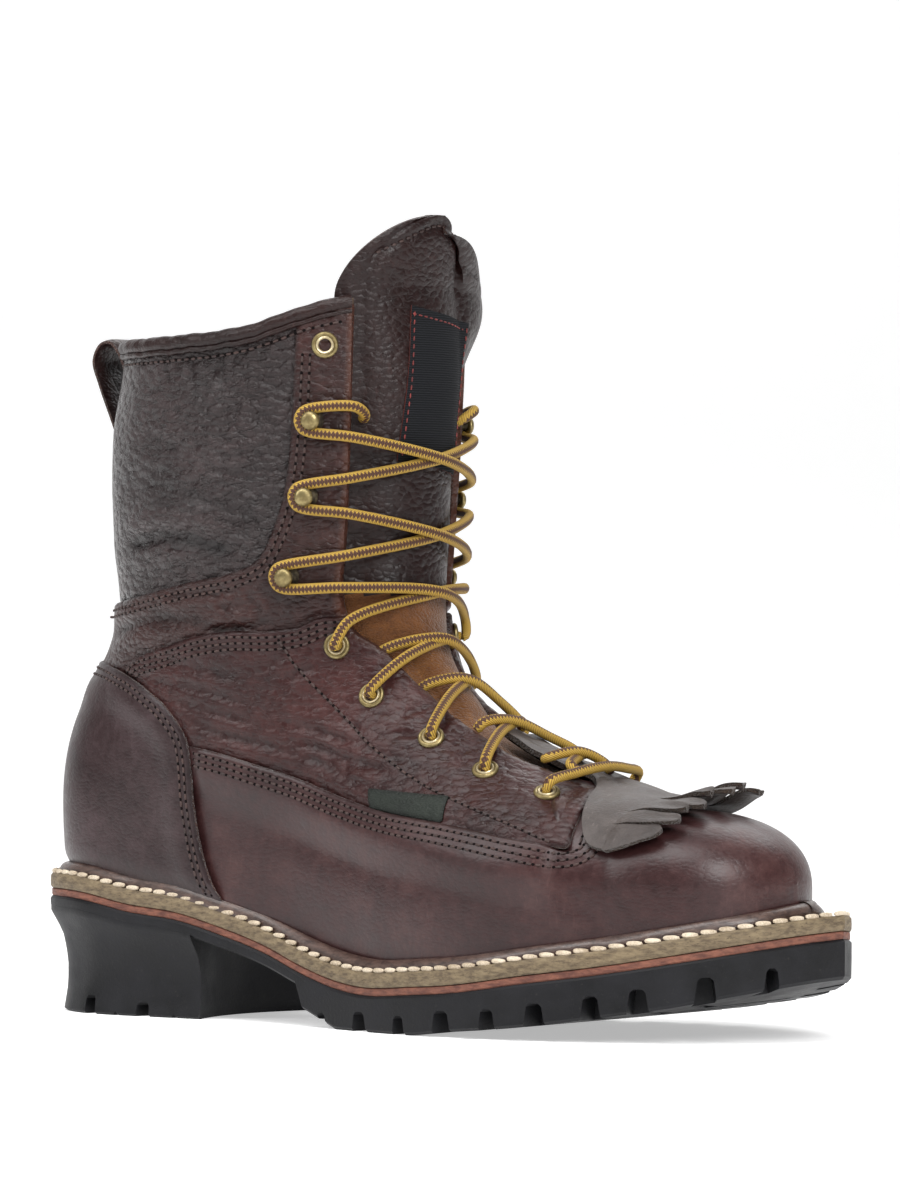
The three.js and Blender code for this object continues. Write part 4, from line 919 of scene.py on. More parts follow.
# Creases, in side view
# points along the line, depth, half width; below zero is a ridge
creaseRows = [
    [[[52, 152], [65, 156], [85, 157], [96, 154], [108, 151]], 1.5, 2.6],
    [[[56, 158], [72, 163], [92, 162], [110, 157]], -0.7, 4],
    [[[93, 178.5], [108, 178], [119, 179]], 0.6, 1.3],
    [[[97, 183], [110, 182.4], [121, 183]], 0.55, 1.2],
    [[[99, 188], [112, 187]], 0.4, 1.2],
    [[[100, 162], [115, 162]], 0.6, 1.4],
    [[[86, 171], [102, 167], [113, 164]], 0.6, 1.5],
    [[[90, 174.5], [104, 172]], 0.4, 1.3],
    [[[78, 218], [79, 205]], 0.45, 1.6],
    [[[89, 217], [91, 206]], 0.45, 1.5],
    [[[103, 217], [102, 205]], 0.4, 1.5],
    [[[66, 190], [80, 186], [92, 180]], 0.4, 3],
    [[[60, 172], [76, 177], [86, 182]], 0.35, 3],
    [[[39, 124], [56, 128.5], [69, 130.5], [88, 130], [101, 129]], 1.3, 2.3],
    [[[74, 138.5], [94, 138], [110, 140]], 0.8, 1.6],
    [[[78, 134.5], [95, 134], [112, 136]], 0.9, 1.5],
    [[[88, 126.5], [104, 127.5], [121, 131]], 0.8, 1.5],
    [[[44, 136], [60, 135], [76, 134]], 0.6, 2],
    [[[96, 140], [101, 132], [105, 125]], 0.5, 1.4],
    [[[108, 141], [112, 134], [114, 128]], 0.5, 1.4],
    [[[62, 111], [87, 107.5], [109, 102]], 0.9, 2],
    [[[70, 105.5], [93, 100.5], [112, 96]], 0.9, 1.9],
    [[[78, 99.5], [103, 92.5], [124, 87.5]], 0.8, 1.8],
    [[[86, 94], [110, 90]], 0.6, 1.6],
    [[[66, 116], [88, 114], [106, 110]], 0.6, 2.2],
    [[[124, 91.5], [146, 85.5], [167, 81.5]], 1.1, 1.5],
    [[[128, 86], [152, 81]], 0.9, 1.4],
    [[[131, 95], [147, 90]], 0.8, 1.3],
    [[[135, 82.5], [158, 76.5]], 0.6, 1.3],
    [[[150, 89], [171, 84]], 0.7, 1.2],
    [[[120, 97], [134, 93.5]], 0.6, 1.4],
    [[[140, 99], [150, 94]], 0.5, 1.2],
    [[[162, 98.5], [168, 101.5]], 0.6, 1.3],
    [[[161, 93], [171, 92.5]], 0.6, 1.3],
    [[[174, 100], [175.5, 93]], 0.5, 1.2],
    [[[120, 110], [131, 116]], 0.6, 1.6],
    [[[112, 113], [122, 121]], 0.5, 1.6],
    [[[185, 88], [190, 81]], 0.4, 1.3],
    [[[200, 78], [206, 73]], 0.4, 1.3],
    [[[205, 70], [222, 66], [238, 62]], 0.35, 2.2],
    [[[228, 52], [240, 44], [250, 34]], 0.3, 3],
    [[[120, 60], [140, 56], [165, 50]], 0.3, 3.5],
    [[[60, 76], [66, 62], [70, 50]], 0.3, 3.5],
    [[[34, 104], [46, 96], [60, 92]], 0.3, 4],
]


def reliefOf(side):
    total = np.zeros(gridX.shape)
    shift = 0 if side == outer else 2.5
    for points, depth, width in creaseRows:
        line = softLine(moved(points, shift, 0.6 * shift), 5)
        low, high = line.min(0) - 4 * width, line.max(0) + 4 * width
        near = (gridX > low[0]) & (gridX < high[0]) & (gridZ > low[1]) & (gridZ < high[1])
        distance, where = lineDistance(gridX[near], gridZ[near], line)
        ends = smoothStep(where, 0, 0.22) * smoothStep(where, 1, 0.78)
        trough = bell(distance, width) - 0.42 * bell(distance - 2.1 * width, 1.1 * width)
        total[near] -= depth * trough * (0.15 + 0.85 * ends)
    return total


outerRelief, innerRelief = reliefOf(outer), reliefOf(inner)
relief = np.where(gridY < 0, outerRelief, innerRelief)
relief = relief * smoothStep(np.abs(gridY), 6, 14)
waves = (
    np.sin(gridX / 9.1 + gridZ / 13.7) * np.sin(gridZ / 7.3 - gridY / 11)
    + np.sin(gridX / 5.3 - gridY / 6.1 + 1)
)
relief += 0.12 * waves * np.sin(gridZ / 17 + gridX / 23)
print("creases")

# Upper panels
vampTopGap, _ = lineDistance(gridX, gridZ, vampLine)
share = gridX / soleLength
underQuarter = smoothStep(gridX, 228, 236)
outerColumns = np.arange(0, around // 2 + 4)
innerColumns = np.arange(around // 2 - 4, around + 1)
allColumns = np.arange(around + 1)
lapLift, lapFloor, liningLift = 3.0, 1.35, -1.65
endLimit = 9 - counterIn
vampInside = np.minimum.reduce([vampIn, floorIn + 3, endLimit, np.where(gridS > 1.9, -5.0, 40.0)])
vampInside = np.minimum(
    vampInside, np.where(gridS > throatStart, np.maximum(throatIn + 9, 4 - 80 * (gridS - throatStart)), 40),
)
lapShare = (
    (1 - smoothStep(vampTopGap, 6, 20)) * (1 - underQuarter) * (1 - 0.45 * smoothStep(counterIn, -5, 0))
)
vampTop = lapLift * lapShare + 0.45 * relief
vampBottom = liningLift + (lapFloor - liningLift) * (1 - smoothStep(vampTopGap, 8, 18)) * (1 - underQuarter)
vampBottom = np.minimum(vampBottom, vampTop - 0.9)
vamp = cutSheet(
    "vamp", allColumns, vampInside, vampTop, vampTop - vampBottom, [hides["vamp"], hides["raw"]],
    {"dent": relief},
)
print("vamp", len(vamp.data.polygons))

underVamp = smoothStep(vampIn, -2.5, -0.3) * (1 - smoothStep(gridX, 222, 232))
underCounter = smoothStep(counterIn, -2.5, -0.3)
nearThroat = 1 - smoothStep(throatIn, 2, 6)
seamPuff = 0.35 * bell(vampIn + 5, 3)
quarterTop = 1.9 - 0.65 * np.maximum(underVamp, underCounter) + 0.4 * bell(topSeamIn, 6) + relief
quarterTop += 0.35 * bell(throatIn - 2.5, 2.2) + seamPuff - 1.1 * bell(throatIn, 4) * (gridY > 0)
quarterBottom = 0.2 + 0.5 * bell(topSeamIn, 7) - 1.8 * nearThroat * (1 - smoothStep(share, 0.69, 0.715))
quarterBottom = np.minimum(quarterBottom, quarterTop - 0.8)
quarterInside = np.minimum.reduce([quarterIn, throatIn, 7 - counterIn, floorIn])
facingTop = 2.0 - 1.45 * smoothStep(topSeamIn, -3, -0.6) + relief + 0.5 * bell(throatIn - 2, 2.4)
facingTop -= 0.5 * smoothStep(gridZ, 212, 222) + 1.1 * bell(throatIn, 4) * (gridY > 0)
facingBottom = np.where(facingIn < 9, 0.35, liningLift) - 2 * nearThroat
facingBottom = np.minimum(facingBottom, facingTop - 0.8)
facingInside = np.minimum.reduce([facingIn, throatIn, collarIn - 1, np.abs(gridY) - 8, 7 - topSeamIn])
bulge = smoothStep(-facingIn, 0, 22) * smoothStep(collarIn, 6, 30) * smoothStep(np.abs(gridY), 8, 26)
shaftTop = 0.25 + 1.9 * bulge + relief - 0.25 * smoothStep(facingIn, -2.5, 0)
shaftInside = np.minimum.reduce([-facingIn + 7, bandIn + 7, collarIn - 2, np.abs(gridY) - 5])
for side, columns, word in ((outer, outerColumns, "Outer"), (inner, innerColumns, "Inner")):
    half = np.where(gridY * side > 0, 40, side * gridY)
    quarter = cutSheet(
        "quarter" + word, columns, np.minimum(quarterInside, half), quarterTop, quarterTop - quarterBottom,
        [hides["quarter"], hides["raw"]], {"dent": relief, "rim": np.clip(throatIn, 0, 50)},
    )
    dress(quarter, "upper_leather", "quarter_outer" if side == outer else "quarter_inner")
    facingPiece = cutSheet(
        "facing" + word, columns, np.minimum(facingInside, half), facingTop, facingTop - facingBottom,
        [hides["facing"], hides["raw"]], {"dent": relief, "rim": np.clip(throatIn, 0, 50)},
    )
    dress(facingPiece, "upper_leather", "facing_outer" if side == outer else "facing_inner")
    shaftPiece = cutSheet(
        "shaftPanel" + word, columns, np.minimum(shaftInside, half), shaftTop, shaftTop - liningLift,
        [hides["shaft"], hides["raw"]], {"dent": relief},
    )
    dress(shaftPiece, "upper_leather")
    print(word, len(quarter.data.polygons), len(facingPiece.data.polygons), len(shaftPiece.data.polygons))

counterTop = 1.9 + 1.05 * (1 - smoothStep(counterIn, 7, 16)) + 0.3 * relief
counterTop -= 0.25 * (bell(counterIn - 2.5, 0.9) + bell(counterIn - 4.6, 0.9))
counterTop = counterTop * smoothStep(floorIn, 1, 8)
counterBottom = np.minimum(np.where(counterIn < 10, 1.4, liningLift), counterTop - 0.9)
counterInside = np.minimum.reduce([counterIn, floorIn + 3, np.where(facing > 0.2, -5.0, 40.0)])
counter = cutSheet(
    "heelCounter", allColumns, counterInside, counterTop, counterTop - counterBottom,
    [hides["counter"], hides["raw"]], {"dent": 0.5 * relief},
)
dress(counter, "upper_leather", "heel_counter")
dress(vamp, "upper_leather", "upper")
backTop = 2.1 + 0.3 * relief - 1.4 * smoothStep(counterIn, -2, 0)
backInside = np.minimum.reduce([11 - np.abs(gridY), collarIn - 3, 6 - counterIn, 60 - gridX, gridZ - 100])
backstay = cutSheet(
    "backStrip", allColumns, backInside, backTop, backTop - 0.4, [hides["counter"], hides["raw"]],
    {"dent": relief},
)
dress(backstay, "upper_leather", "backstay")
liningInside = np.minimum.reduce([collarIn + 0.5, throatIn, floorIn + 4])
lining = cutSheet(
    "lining", allColumns[::2], liningInside, np.full(gridX.shape, liningLift - 0.05),
    np.full(gridX.shape, 0.7),
    [hides["lining"], hides["raw"]], {"dent": 0 * relief}, rows=np.arange(0, len(stations), 2),
)
dress(lining, "upper_leather")
print("panels", len(counter.data.polygons), len(backstay.data.polygons), len(lining.data.polygons))


# Sole
soleMaterials = {
    "rubber": plainMaterial("soleRubber", tone(18, 18, 20), 0.6, **{"Specular IOR Level": 0.2}),
    "slip": plainMaterial("slipLayer", tone(104, 62, 48), 0.7),
    "weltEdge": plainMaterial("weltEdge", tone(136, 116, 92), 0.6),
    "lip": plainMaterial("stormLip", tone(66, 48, 42), 0.3, **{"Coat Weight": 0.3, "Coat Roughness": 0.2}),
}
made, tree, shader = soleMaterials["rubber"]
coords = node(tree, "ShaderNodeTexCoord").outputs["Object"]
cloud = noiseOf(tree, coords, 60, 5, 0.6)
grit = noiseOf(tree, coords, 900, 4, 0.7)
color = mixed(tree, remap(tree, cloud, 0.35, 0.65), tone(17, 17, 19), tone(29, 29, 32))
color = mixed(tree, remap(tree, grit, 0.62, 0.72, 0, 0.5), color, tone(54, 51, 48))
tree.links.new(color, shader.inputs["Base Color"])
tree.links.new(remap(tree, cloud, 0.3, 0.7, 0.38, 0.62), shader.inputs["Roughness"])
raised = node(tree, "ShaderNodeBump", {"Strength": 0.25, "Distance": 0.0005, "Height": grit})
tree.links.new(raised.outputs[0], shader.inputs["Normal"])
for key, dark, light, flecks in (
    ("slip", (84, 46, 36), (126, 78, 60), (70, 40, 32)),
    ("weltEdge", (82, 68, 50), (124, 108, 82), (60, 48, 35)),
    ("lip", (50, 34, 29), (86, 66, 58), (44, 31, 26)),
):
    made, tree, shader = soleMaterials[key]
    coords = node(tree, "ShaderNodeTexCoord").outputs["Object"]
    flat = node(tree, "ShaderNodeMapping", {"Vector": coords, "Scale": (1, 1, 3.2)}).outputs[0]
    streaks = noiseOf(tree, flat, 240, 6, 0.7)
    spots = noiseOf(tree, flat, 620, 4, 0.7)
    color = mixed(tree, remap(tree, streaks, 0.38, 0.62), tone(*dark), tone(*light))
    color = mixed(tree, remap(tree, spots, 0.58, 0.68, 0, 0.8), color, tone(*flecks))
    tree.links.new(color, shader.inputs["Base Color"])
    tree.links.new(
        remap(tree, spots, 0.3, 0.7, 0.28 if key == "lip" else 0.55, 0.5 if key == "lip" else 0.8),
        shader.inputs["Roughness"],
    )
    raised = node(tree, "ShaderNodeBump", {"Strength": 0.4, "Distance": 0.0004, "Height": spots})
    tree.links.new(raised.outputs[0], shader.inputs["Normal"])

soleSizes = {
    "pairs": 150, "heelUndercut": 5.9, "breastHollow": 7, "lugDepth": 6, "treadBack": 0.425,
    "treadRamp": 0.055,
}
pairs = soleSizes["pairs"]
pairX = soleLength / 2 * (1 - np.cos(pi * np.arange(1, pairs) / pairs))
fineOuter = softLine(planKnots[: len(outerEdgeRows) + 2], 40)
fineInner = softLine((planKnots[len(outerEdgeRows) + 1:] + [[0, 0]])[::-1], 40)
outerLine = np.stack([pairX, np.interp(pairX, fineOuter[:, 0], fineOuter[:, 1])], axis=1)
innerLine = np.stack([pairX, np.interp(pairX, fineInner[:, 0], fineInner[:, 1])], axis=1)
solePlan = np.vstack([[[0, 0]], outerLine, [[soleLength, toeTipShare * ballWidth / 2]], innerLine[::-1]])
soleInward = inwardOf(solePlan)
soleInward[0], soleInward[pairs] = [1, 0], [-1, 0]


def plateOf(name, levels, materials):
    # closed plate of the sole's outline; each level is an inset and a height for every x
    rings = []
    for inset, height in levels:
        flat = solePlan + soleInward * np.asarray(inset).reshape(-1, 1)
        rings.append(np.column_stack([flat, height(flat[:, 0])]))
    size = len(solePlan)
    faces = []
    for k in range(len(rings) - 1):
        faces += [
            [k * size + j, k * size + (j + 1) % size, (k + 1) * size + (j + 1) % size, (k + 1) * size + j]
            for j in range(size)
        ]
    for base, top in ((0, False), ((len(rings) - 1) * size, True)):
        cap = [[base, base + size - 1, base + 1]]
        for j in range(1, pairs - 1):
            cap.append([base + j, base + size - j, base + size - j - 1, base + j + 1])
        cap.append([base + pairs - 1, base + pairs + 1, base + pairs])
        faces += [f[::-1] for f in cap] if top else cap
    return turnedOut(finishMesh(name, np.vstack(rings), faces, materials, sharp=35))


def slabBottom(x):
    back = soleSizes["treadBack"] * soleLength
    ramp = soleSizes["treadRamp"] * soleLength
    shank = rubberTop(x) - bootSizes["shankThickness"]
    front = np.where(x < back + ramp, soleSizes["lugDepth"] * (1 - (x - back) / ramp), treadZ(x))
    return np.where(x < back, shank, np.maximum(front, 0))


def joined(name, parts):
    mesh = bpy.data.meshes.new(name)
    work = bmesh.new()
    for part in parts:
        work.from_mesh(part.data)
    bmesh.ops.recalc_face_normals(work, faces=work.faces)
    work.to_mesh(mesh)
    work.free()
    piece = bpy.data.objects.new(name, mesh)
    bpy.context.scene.collection.objects.link(piece)
    for material in parts[0].data.materials:
        mesh.materials.append(material)
    for part in parts:
        bpy.data.objects.remove(part)
    return piece


def boolean(piece, other, operation):
    modifier = piece.modifiers.new(operation, "BOOLEAN")
    modifier.operation = operation
    modifier.solver = "EXACT"
    modifier.use_self = True
    modifier.object = other
    shaped = bpy.data.meshes.new_from_object(piece.evaluated_get(bpy.context.evaluated_depsgraph_get()))
    piece.modifiers.clear()
    old = piece.data
    piece.data = shaped
    shaped.name = piece.name
    bpy.data.meshes.remove(old)
    bpy.data.objects.remove(other)


rubber = [soleMaterials["rubber"][0]]
slab = plateOf("soleUnit", [
    [1.0, slabBottom],
    [0.1, lambda x: slabBottom(x) + 0.9],
    [0, lambda x: (slabBottom(x) + rubberTop(x)) / 2],
    [0, lambda x: rubberTop(x) - 0.8],
    [0.7, rubberTop],
], rubber)
heelRows = [
    [0, 0.95], [0.02, 0.78], [0.1, 0.86], [0.2, 0.96], [0.3, 1], [0.42, 1], [0.52, 0.93], [0.6, 0.84],
    [0.68, 0.73],
    [0.76, 0.5], [0.82, 0.3], [0.87, 0.12], [0.9, 0.03], [0.94, 0.03],
]
heelOuter = outerLine[outerLine[:, 0] < 76]
heelInner = innerLine[innerLine[:, 0] < 76]
heelRing = np.vstack([heelInner[::-1], [[0, 0]], heelOuter])
heelIn = inwardOf(np.vstack([heelRing, heelRing[:1]]))[: len(heelRing)]
heelIn[0], heelIn[-1] = heelIn[1], heelIn[-2]
rings = []
for up, cut in heelRows:
    back = heelRing + heelIn * (cut * soleSizes["heelUndercut"])
    share = np.linspace(0, 1, 25)[:, None]
    front = bootSizes["heelLength"] - 4
    breast = np.column_stack([
        front - soleSizes["breastHollow"] * 4 * share * (1 - share),
        back[-1, 1] + (back[0, 1] - back[-1, 1]) * share,
    ])
    ring = np.vstack([back, breast])
    rings.append(np.column_stack([ring, up * (rubberTop(ring[:, 0]) - 1)]))
heel = loftOf("heelBlock", rings, rubber)
boolean(slab, heel, "UNION")
sideNotches = [
    [0.461, 3, 16, 5], [0.518, 4.4, 14, 6.2], [0.583, 3.4, 17, 6], [0.643, 4.4, 14, 6.8],
    [0.705, 3.6, 17, 6.5],
    [0.762, 4.2, 14, 7], [0.816, 3.8, 16, 7], [0.868, 4, 13, 7.2], [0.922, 4, 13, 7.4], [0.968, 3, 12, 6.5],
]
heelNotches = [[0.111, 4.6, 15, 6], [0.151, 2, 15, 1.2], [0.191, 4.6, 15, 4.6], [0.231, 2, 15, 1.2]]
chevronRows = [0.598, 0.65, 0.705, 0.757, 0.81, 0.865]
cutters = []


def wedge(centre, inward, width, reach, low, high, flare):
    # block with its sides leaning, wider at the bottom by flare
    across = np.array([-inward[1], inward[0]])
    rings = []
    for z, half in ((low, width / 2 + flare), (high - 1, width / 2 + 0.25 * flare), (high, width / 2 - 0.6)):
        corners = [centre - inward * 6 + across * half, centre + inward * reach + across * half]
        corners += [centre + inward * reach - across * half, centre - inward * 6 - across * half]
        rings.append([[*c, z] for c in corners])
    cutters.append(loftOf("cutter", rings, rubber))


for share, width, reach, height in sideNotches + heelNotches:
    for side, line in ((outer, outerLine), (inner, innerLine)):
        i = int(np.argmin(np.abs(line[:, 0] - share * soleLength)))
        i = min(max(i, 1), len(line) - 2)
        along = line[i + 1] - line[i - 1]
        along /= np.linalg.norm(along)
        inward = np.array([along[1], -along[0]]) * side
        floor = float(treadZ(line[i, 0]))
        start = line[i] + inward * (4 if share < 0.3 else 0)
        wedge(
            start, inward, width, reach - 2, floor - 3, floor + height,
            0.5 * width if share > 0.3 else 0.15 * width,
        )
for share in chevronRows:
    x = share * soleLength
    for side in (outer, inner):
        inward = np.array([sin(0.42), side * cos(0.42)])
        floor = float(treadZ(x))
        wedge(np.array([x, side * 8.0]), inward, 3.5, 20, floor - 3, floor + 5, 0.3)
boolean(slab, joined("cutters", cutters), "DIFFERENCE")
slab.data.polygons.foreach_set("use_smooth", np.ones(len(slab.data.polygons), bool))
slab.data.set_sharp_from_angle(angle=radians(32))
dress(slab, "outsole_rubber", "outsole")
midsole = plateOf("slipSheet", [
    [0.8, lambda x: rubberTop(x) + 0.1],
    [0.5, lambda x: rubberTop(x) + 0.5],
    [0.5, lambda x: midsoleTop(x) - 0.3],
    [0.9, midsoleTop],
], [soleMaterials["slip"][0]])
dress(midsole, "slip_layer", "midsole")
print("sole", len(slab.data.polygons))

# Welt and storm lip
weltSections = []
for i in range(len(solePlan)):
    section = []
    for inset, share in ((0.5, 0.02), (0.05, 0.16), (0, 0.5), (0.1, 0.84), (0.7, 1), (9, 1), (9, 0.02)):
        x, y = solePlan[i] + soleInward[i] * inset
        low = float(midsoleTop(x)) + 0.1
        section.append([x, y, low + share * (float(weltTop(x)) - low)])
    weltSections.append(section)
weltPiece = loftOf("weltStrip", weltSections, [soleMaterials["weltEdge"][0]], closedAlong=True, sharp=35)
dress(weltPiece, "welt_leather", "welt")


def formEdge(flat, inward, z):
    # where a level line from outside the sole's edge meets the form
    far, near = np.full(len(flat), -6.0), np.full(len(flat), 24.0)
    for _ in range(24):
        t = (far + near) / 2
        at = flat + inward * t[:, None]
        within = formField(at[:, 0], at[:, 1], z) < 0
        near, far = np.where(within, t, near), np.where(within, far, t)
    return flat + inward * near[:, None]


lipBase = weltTop(solePlan[:, 0])
lipAt = formEdge(solePlan, soleInward, lipBase + 1.5)
lipProfile = [
    (4.1, -0.3), (4.35, 0.5), (4.3, 1.4), (3.95, 2.3), (3.3, 3.1), (2.4, 3.65), (1.4, 3.85), (0.4, 3.7),
    (-0.5, 3.2), (-1, 2),
    (-1, -0.3),
]
lipInset = np.sum((lipAt - solePlan) * soleInward, axis=1)
lipReach = np.clip(lipInset - 2.5, 1.3, 4.1)
lipSections = []
for i in range(len(solePlan)):
    wide = [(out * lipReach[i] / 4.1 if out > 0 else out, up) for out, up in lipProfile]
    lipSections.append([[*(lipAt[i] - soleInward[i] * out), lipBase[i] + up] for out, up in wide])
lipPiece = loftOf("stormLip", lipSections, [soleMaterials["lip"][0]], closedAlong=True)
dress(lipPiece, "welt_leather")

# Collar binding and pull loop
collarPoints, collarNormals = [], []
columnOrder = list(range(around // 2, -1, -1)) + list(range(around - 1, around // 2, -1))
bindingEnd = shaftSpot([0.782, 1])[0] + 4
for j in columnOrder:
    run = collarIn[:, j]
    hit = np.nonzero((run[:-1] > 0) & (run[1:] <= 0) & (gridS[:-1, j] > 2))[0]
    if len(hit) == 0:
        continue
    i = hit[0]
    t = run[i] / (run[i] - run[i + 1])
    point = gridP[i, j] + (gridP[i + 1, j] - gridP[i, j]) * t
    if throatIn[i, j] > 0.6 and (point[0] < bindingEnd or gridS[i, j] > 2.5):
        flat = gridN[i, j] * [1, 1, 0]
        collarPoints.append(point)
        collarNormals.append(flat / np.linalg.norm(flat))
collarPoints, collarNormals = np.array(collarPoints), np.array(collarNormals)
bindingProfile = [
    (0.4, -4.7), (1.4, -4.7), (2.0, -4.3), (2.15, -3.7), (1.95, -3.2), (1.6, -2.95), (2.1, -2.6),
    (2.5, -1.9), (2.65, -1),
    (2.4, 0), (1.8, 0.8), (0.8, 1.4), (-0.6, 1.6), (-2.0, 1.4), (-3.2, 0.7), (-3.8, -0.5), (-3.9, -2.2),
    (-3.6, -4),
    (-3.1, -4.7), (-2.5, -4.8), (-2.45, 0.3), (0.3, 0.35),
]
bindingSections = []
for k in range(len(collarPoints)):
    wobble = 0.12 * sin(k * 0.37) + 0.1 * sin(k * 0.83 + 1)
    bindingSections.append([
        collarPoints[k] + collarNormals[k] * (
            out + (wobble if out > 1 else 0)
        ) + np.array([0, 0, up + wobble])
        for out, up in bindingProfile
    ])
bindingPiece = loftOf("collarRolls", bindingSections, [hides["binding"]], sharp=50)
dress(bindingPiece, "upper_leather", "collar_binding")

loopSizes = {"width": 20, "thickness": 2.4, "reach": 16, "rows": [
    [0.8, 0], [0.86, 0.35], [0.93, 0.78], [0.975, 1], [1.005, 0.86], [1.008, 0.6], [0.98, 0.28], [0.93, 0],
]}
loopPath = []
for up, out in loopSizes["rows"]:
    z = shaftZ(up)
    loopPath.append([float(shaftBack(z)) - 3.3 - out * loopSizes["reach"], z])
loopPath = evenly(softLine(loopPath, 10), count=72)
loopAlong = np.gradient(loopPath, axis=0)
loopAlong /= np.linalg.norm(loopAlong, axis=1)[:, None]
loopOut = np.stack([-loopAlong[:, 1], loopAlong[:, 0]], axis=1)
spread = np.linspace(-1, 1, 15)


def loopPoint(sign):
    grid = np.zeros((len(loopPath), len(spread), 3))
    for k, share in enumerate(spread):
        half = sign * loopSizes["thickness"] / 2 * (0.35 + 0.65 * (1 - abs(share) ** 6))
        grid[:, k, 0] = loopPath[:, 0] + loopOut[:, 0] * half
        grid[:, k, 2] = loopPath[:, 1] + loopOut[:, 1] * half
        grid[:, k, 1] = share * loopSizes["width"] / 2
    return grid


loopPiece = sheetOf("backLoop", loopPoint(1), loopPoint(-1), [hides["binding"], hides["raw"]])
dress(turnedOut(loopPiece), "upper_leather", "pull_loop")

# Tongue, patch, kiltie, tag
tongueSizes = {
    "rise": 23, "lap": 4.5, "widest": 0.375, "lean": 0.2, "foot": -3.3, "thickness": 3, "shoulder": 4,
    "wing": 30, "spread": 7, "step": 6,
}
tongueTop = formTop + tongueSizes["rise"]
tongueEnd = 2 + (tongueTop - pivotZ) / (formTop - pivotZ)


def tongueHalf(station):
    level = float(planeAt(station)[1])
    low = formTop - tongueSizes["shoulder"]
    width = min(float(throatHalf(min(station, 3))) + tongueSizes["lap"], tongueSizes["widest"] * shaftWidth)
    if station <= 2 or level <= low:
        return width
    share = min((level - low) / (tongueTop - low), 1)
    return width * max(1 - share**1.9, 0.015) ** 0.5


def tongueLift(station, across):
    # across is from -1 at the outer edge to 1 at the inner edge
    over = max(0, station - 3) * (formTop - pivotZ)
    lift = tongueSizes["foot"] + over * tongueSizes["lean"]
    pad = float(smoothStep(station, 2.25, 2.9))
    swell = float(smoothStep(station, 1.08, 1.3)) * (1 - float(smoothStep(station, 2.6, 3)))
    lift += 4.0 * swell * max(1 - (abs(across) / 0.74) ** 2.4, 0)
    above = float(smoothStep(station, 2.95, 3.05))
    lift += pad * (1.5 * (1 - across**4) - 0.7 * float(bell(across + 0.8, 0.06)))
    arc = (station - 3.12) - 0.1 * (1 - (across / 0.8) ** 2)
    lift -= 0.9 * pad * float(bell(arc, 0.022)) * float(abs(across) < 0.85)
    folded = max(across - 0.5, 0)
    lift -= 1.6 * above * float(bell(across - 0.5, 0.06))
    opened = float(0.2 * smoothStep(station, 2.1, 2.6) + 0.8 * bell(station - 2.93, 0.17))
    return lift + tongueSizes["wing"] * folded * opened


def tonguePoint(station, across, extra=0.0):
    # place on the tongue's face; the inner wing is a leaf of its own, lower than the middle
    leaf = float(smoothStep(across, 0.48, 0.58))
    y = (
        tongueHalf(station) * across
        + tongueSizes["spread"] * float(bell(station - 2.93, 0.2)) * max(across, 0)
    )
    point, normal = onFront(station, y)
    point = point + normal * (tongueLift(station, across) + extra)
    point[2] -= tongueSizes["step"] * leaf * float(smoothStep(station, 2.95, 3.15))
    return point, normal


tongueStations = np.concatenate([
    np.linspace(throatStart - 0.02, 2, 70, endpoint=False),
    np.linspace(2, 3, 70, endpoint=False),
    3 + (tongueEnd - 3) * np.sin(np.linspace(0, 1, 34) * pi / 2),
])
tongueAcross = np.sin(np.linspace(-1, 1, 53) * pi / 2 * 0.999) * 0.35 + np.linspace(-1, 1, 53) * 0.65
tongueUpper = np.zeros((len(tongueStations), len(tongueAcross), 3))
tongueLower = tongueUpper.copy()
for i, station in enumerate(tongueStations):
    for k, across in enumerate(tongueAcross):
        thick = (
            tongueSizes["thickness"] * (0.4 + 0.6 * (1 - across**8))
            + 0.8 * float(smoothStep(station, 2.3, 3))
        )
        tongueUpper[i, k], normal = tonguePoint(station, across)
        tongueLower[i, k] = tongueUpper[i, k] - normal * thick
tonguePiece = sheetOf("tonguePad", tongueUpper, tongueLower, [hides["tongue"], hides["raw"]])
for polygon in tonguePiece.data.polygons:
    centre = polygon.center
    if centre.z * 1000 < 138 and polygon.material_index == 0:
        polygon.material_index = 2
tonguePiece.data.materials.append(hides["nubuck"])
dress(tonguePiece, "tongue_leather", "tongue")
print("tongue", len(tonguePiece.data.polygons))

clothPatch, tree, shader = plainMaterial(
    "patchCloth", tone(22, 23, 26), 0.85, **{"Specular IOR Level": 0.12},
)
coords = node(tree, "ShaderNodeTexCoord").outputs["Object"]
weave = node(
    tree, "ShaderNodeTexWave", {"Vector": coords, "Scale": 420, "Distortion": 0.5}, bands_direction="Z",
).outputs[1]
tree.links.new(mixed(tree, weave, tone(14, 15, 17), tone(33, 34, 37)), shader.inputs["Base Color"])
raised = node(tree, "ShaderNodeBump", {"Strength": 0.4, "Distance": 0.0003, "Height": weave})
tree.links.new(raised.outputs[0], shader.inputs["Normal"])
patchRows = [[2.37, -0.16, 0.2], [2.56, -0.143, 0.21], [2.75, -0.126, 0.22], [2.93, -0.108, 0.225]]
patchOuter, patchInner = curveOf(patchRows, 1), curveOf(patchRows, 2)
patchUpper = np.zeros((40, 30, 3))
patchLower, patchNormals = patchUpper.copy(), patchUpper.copy()
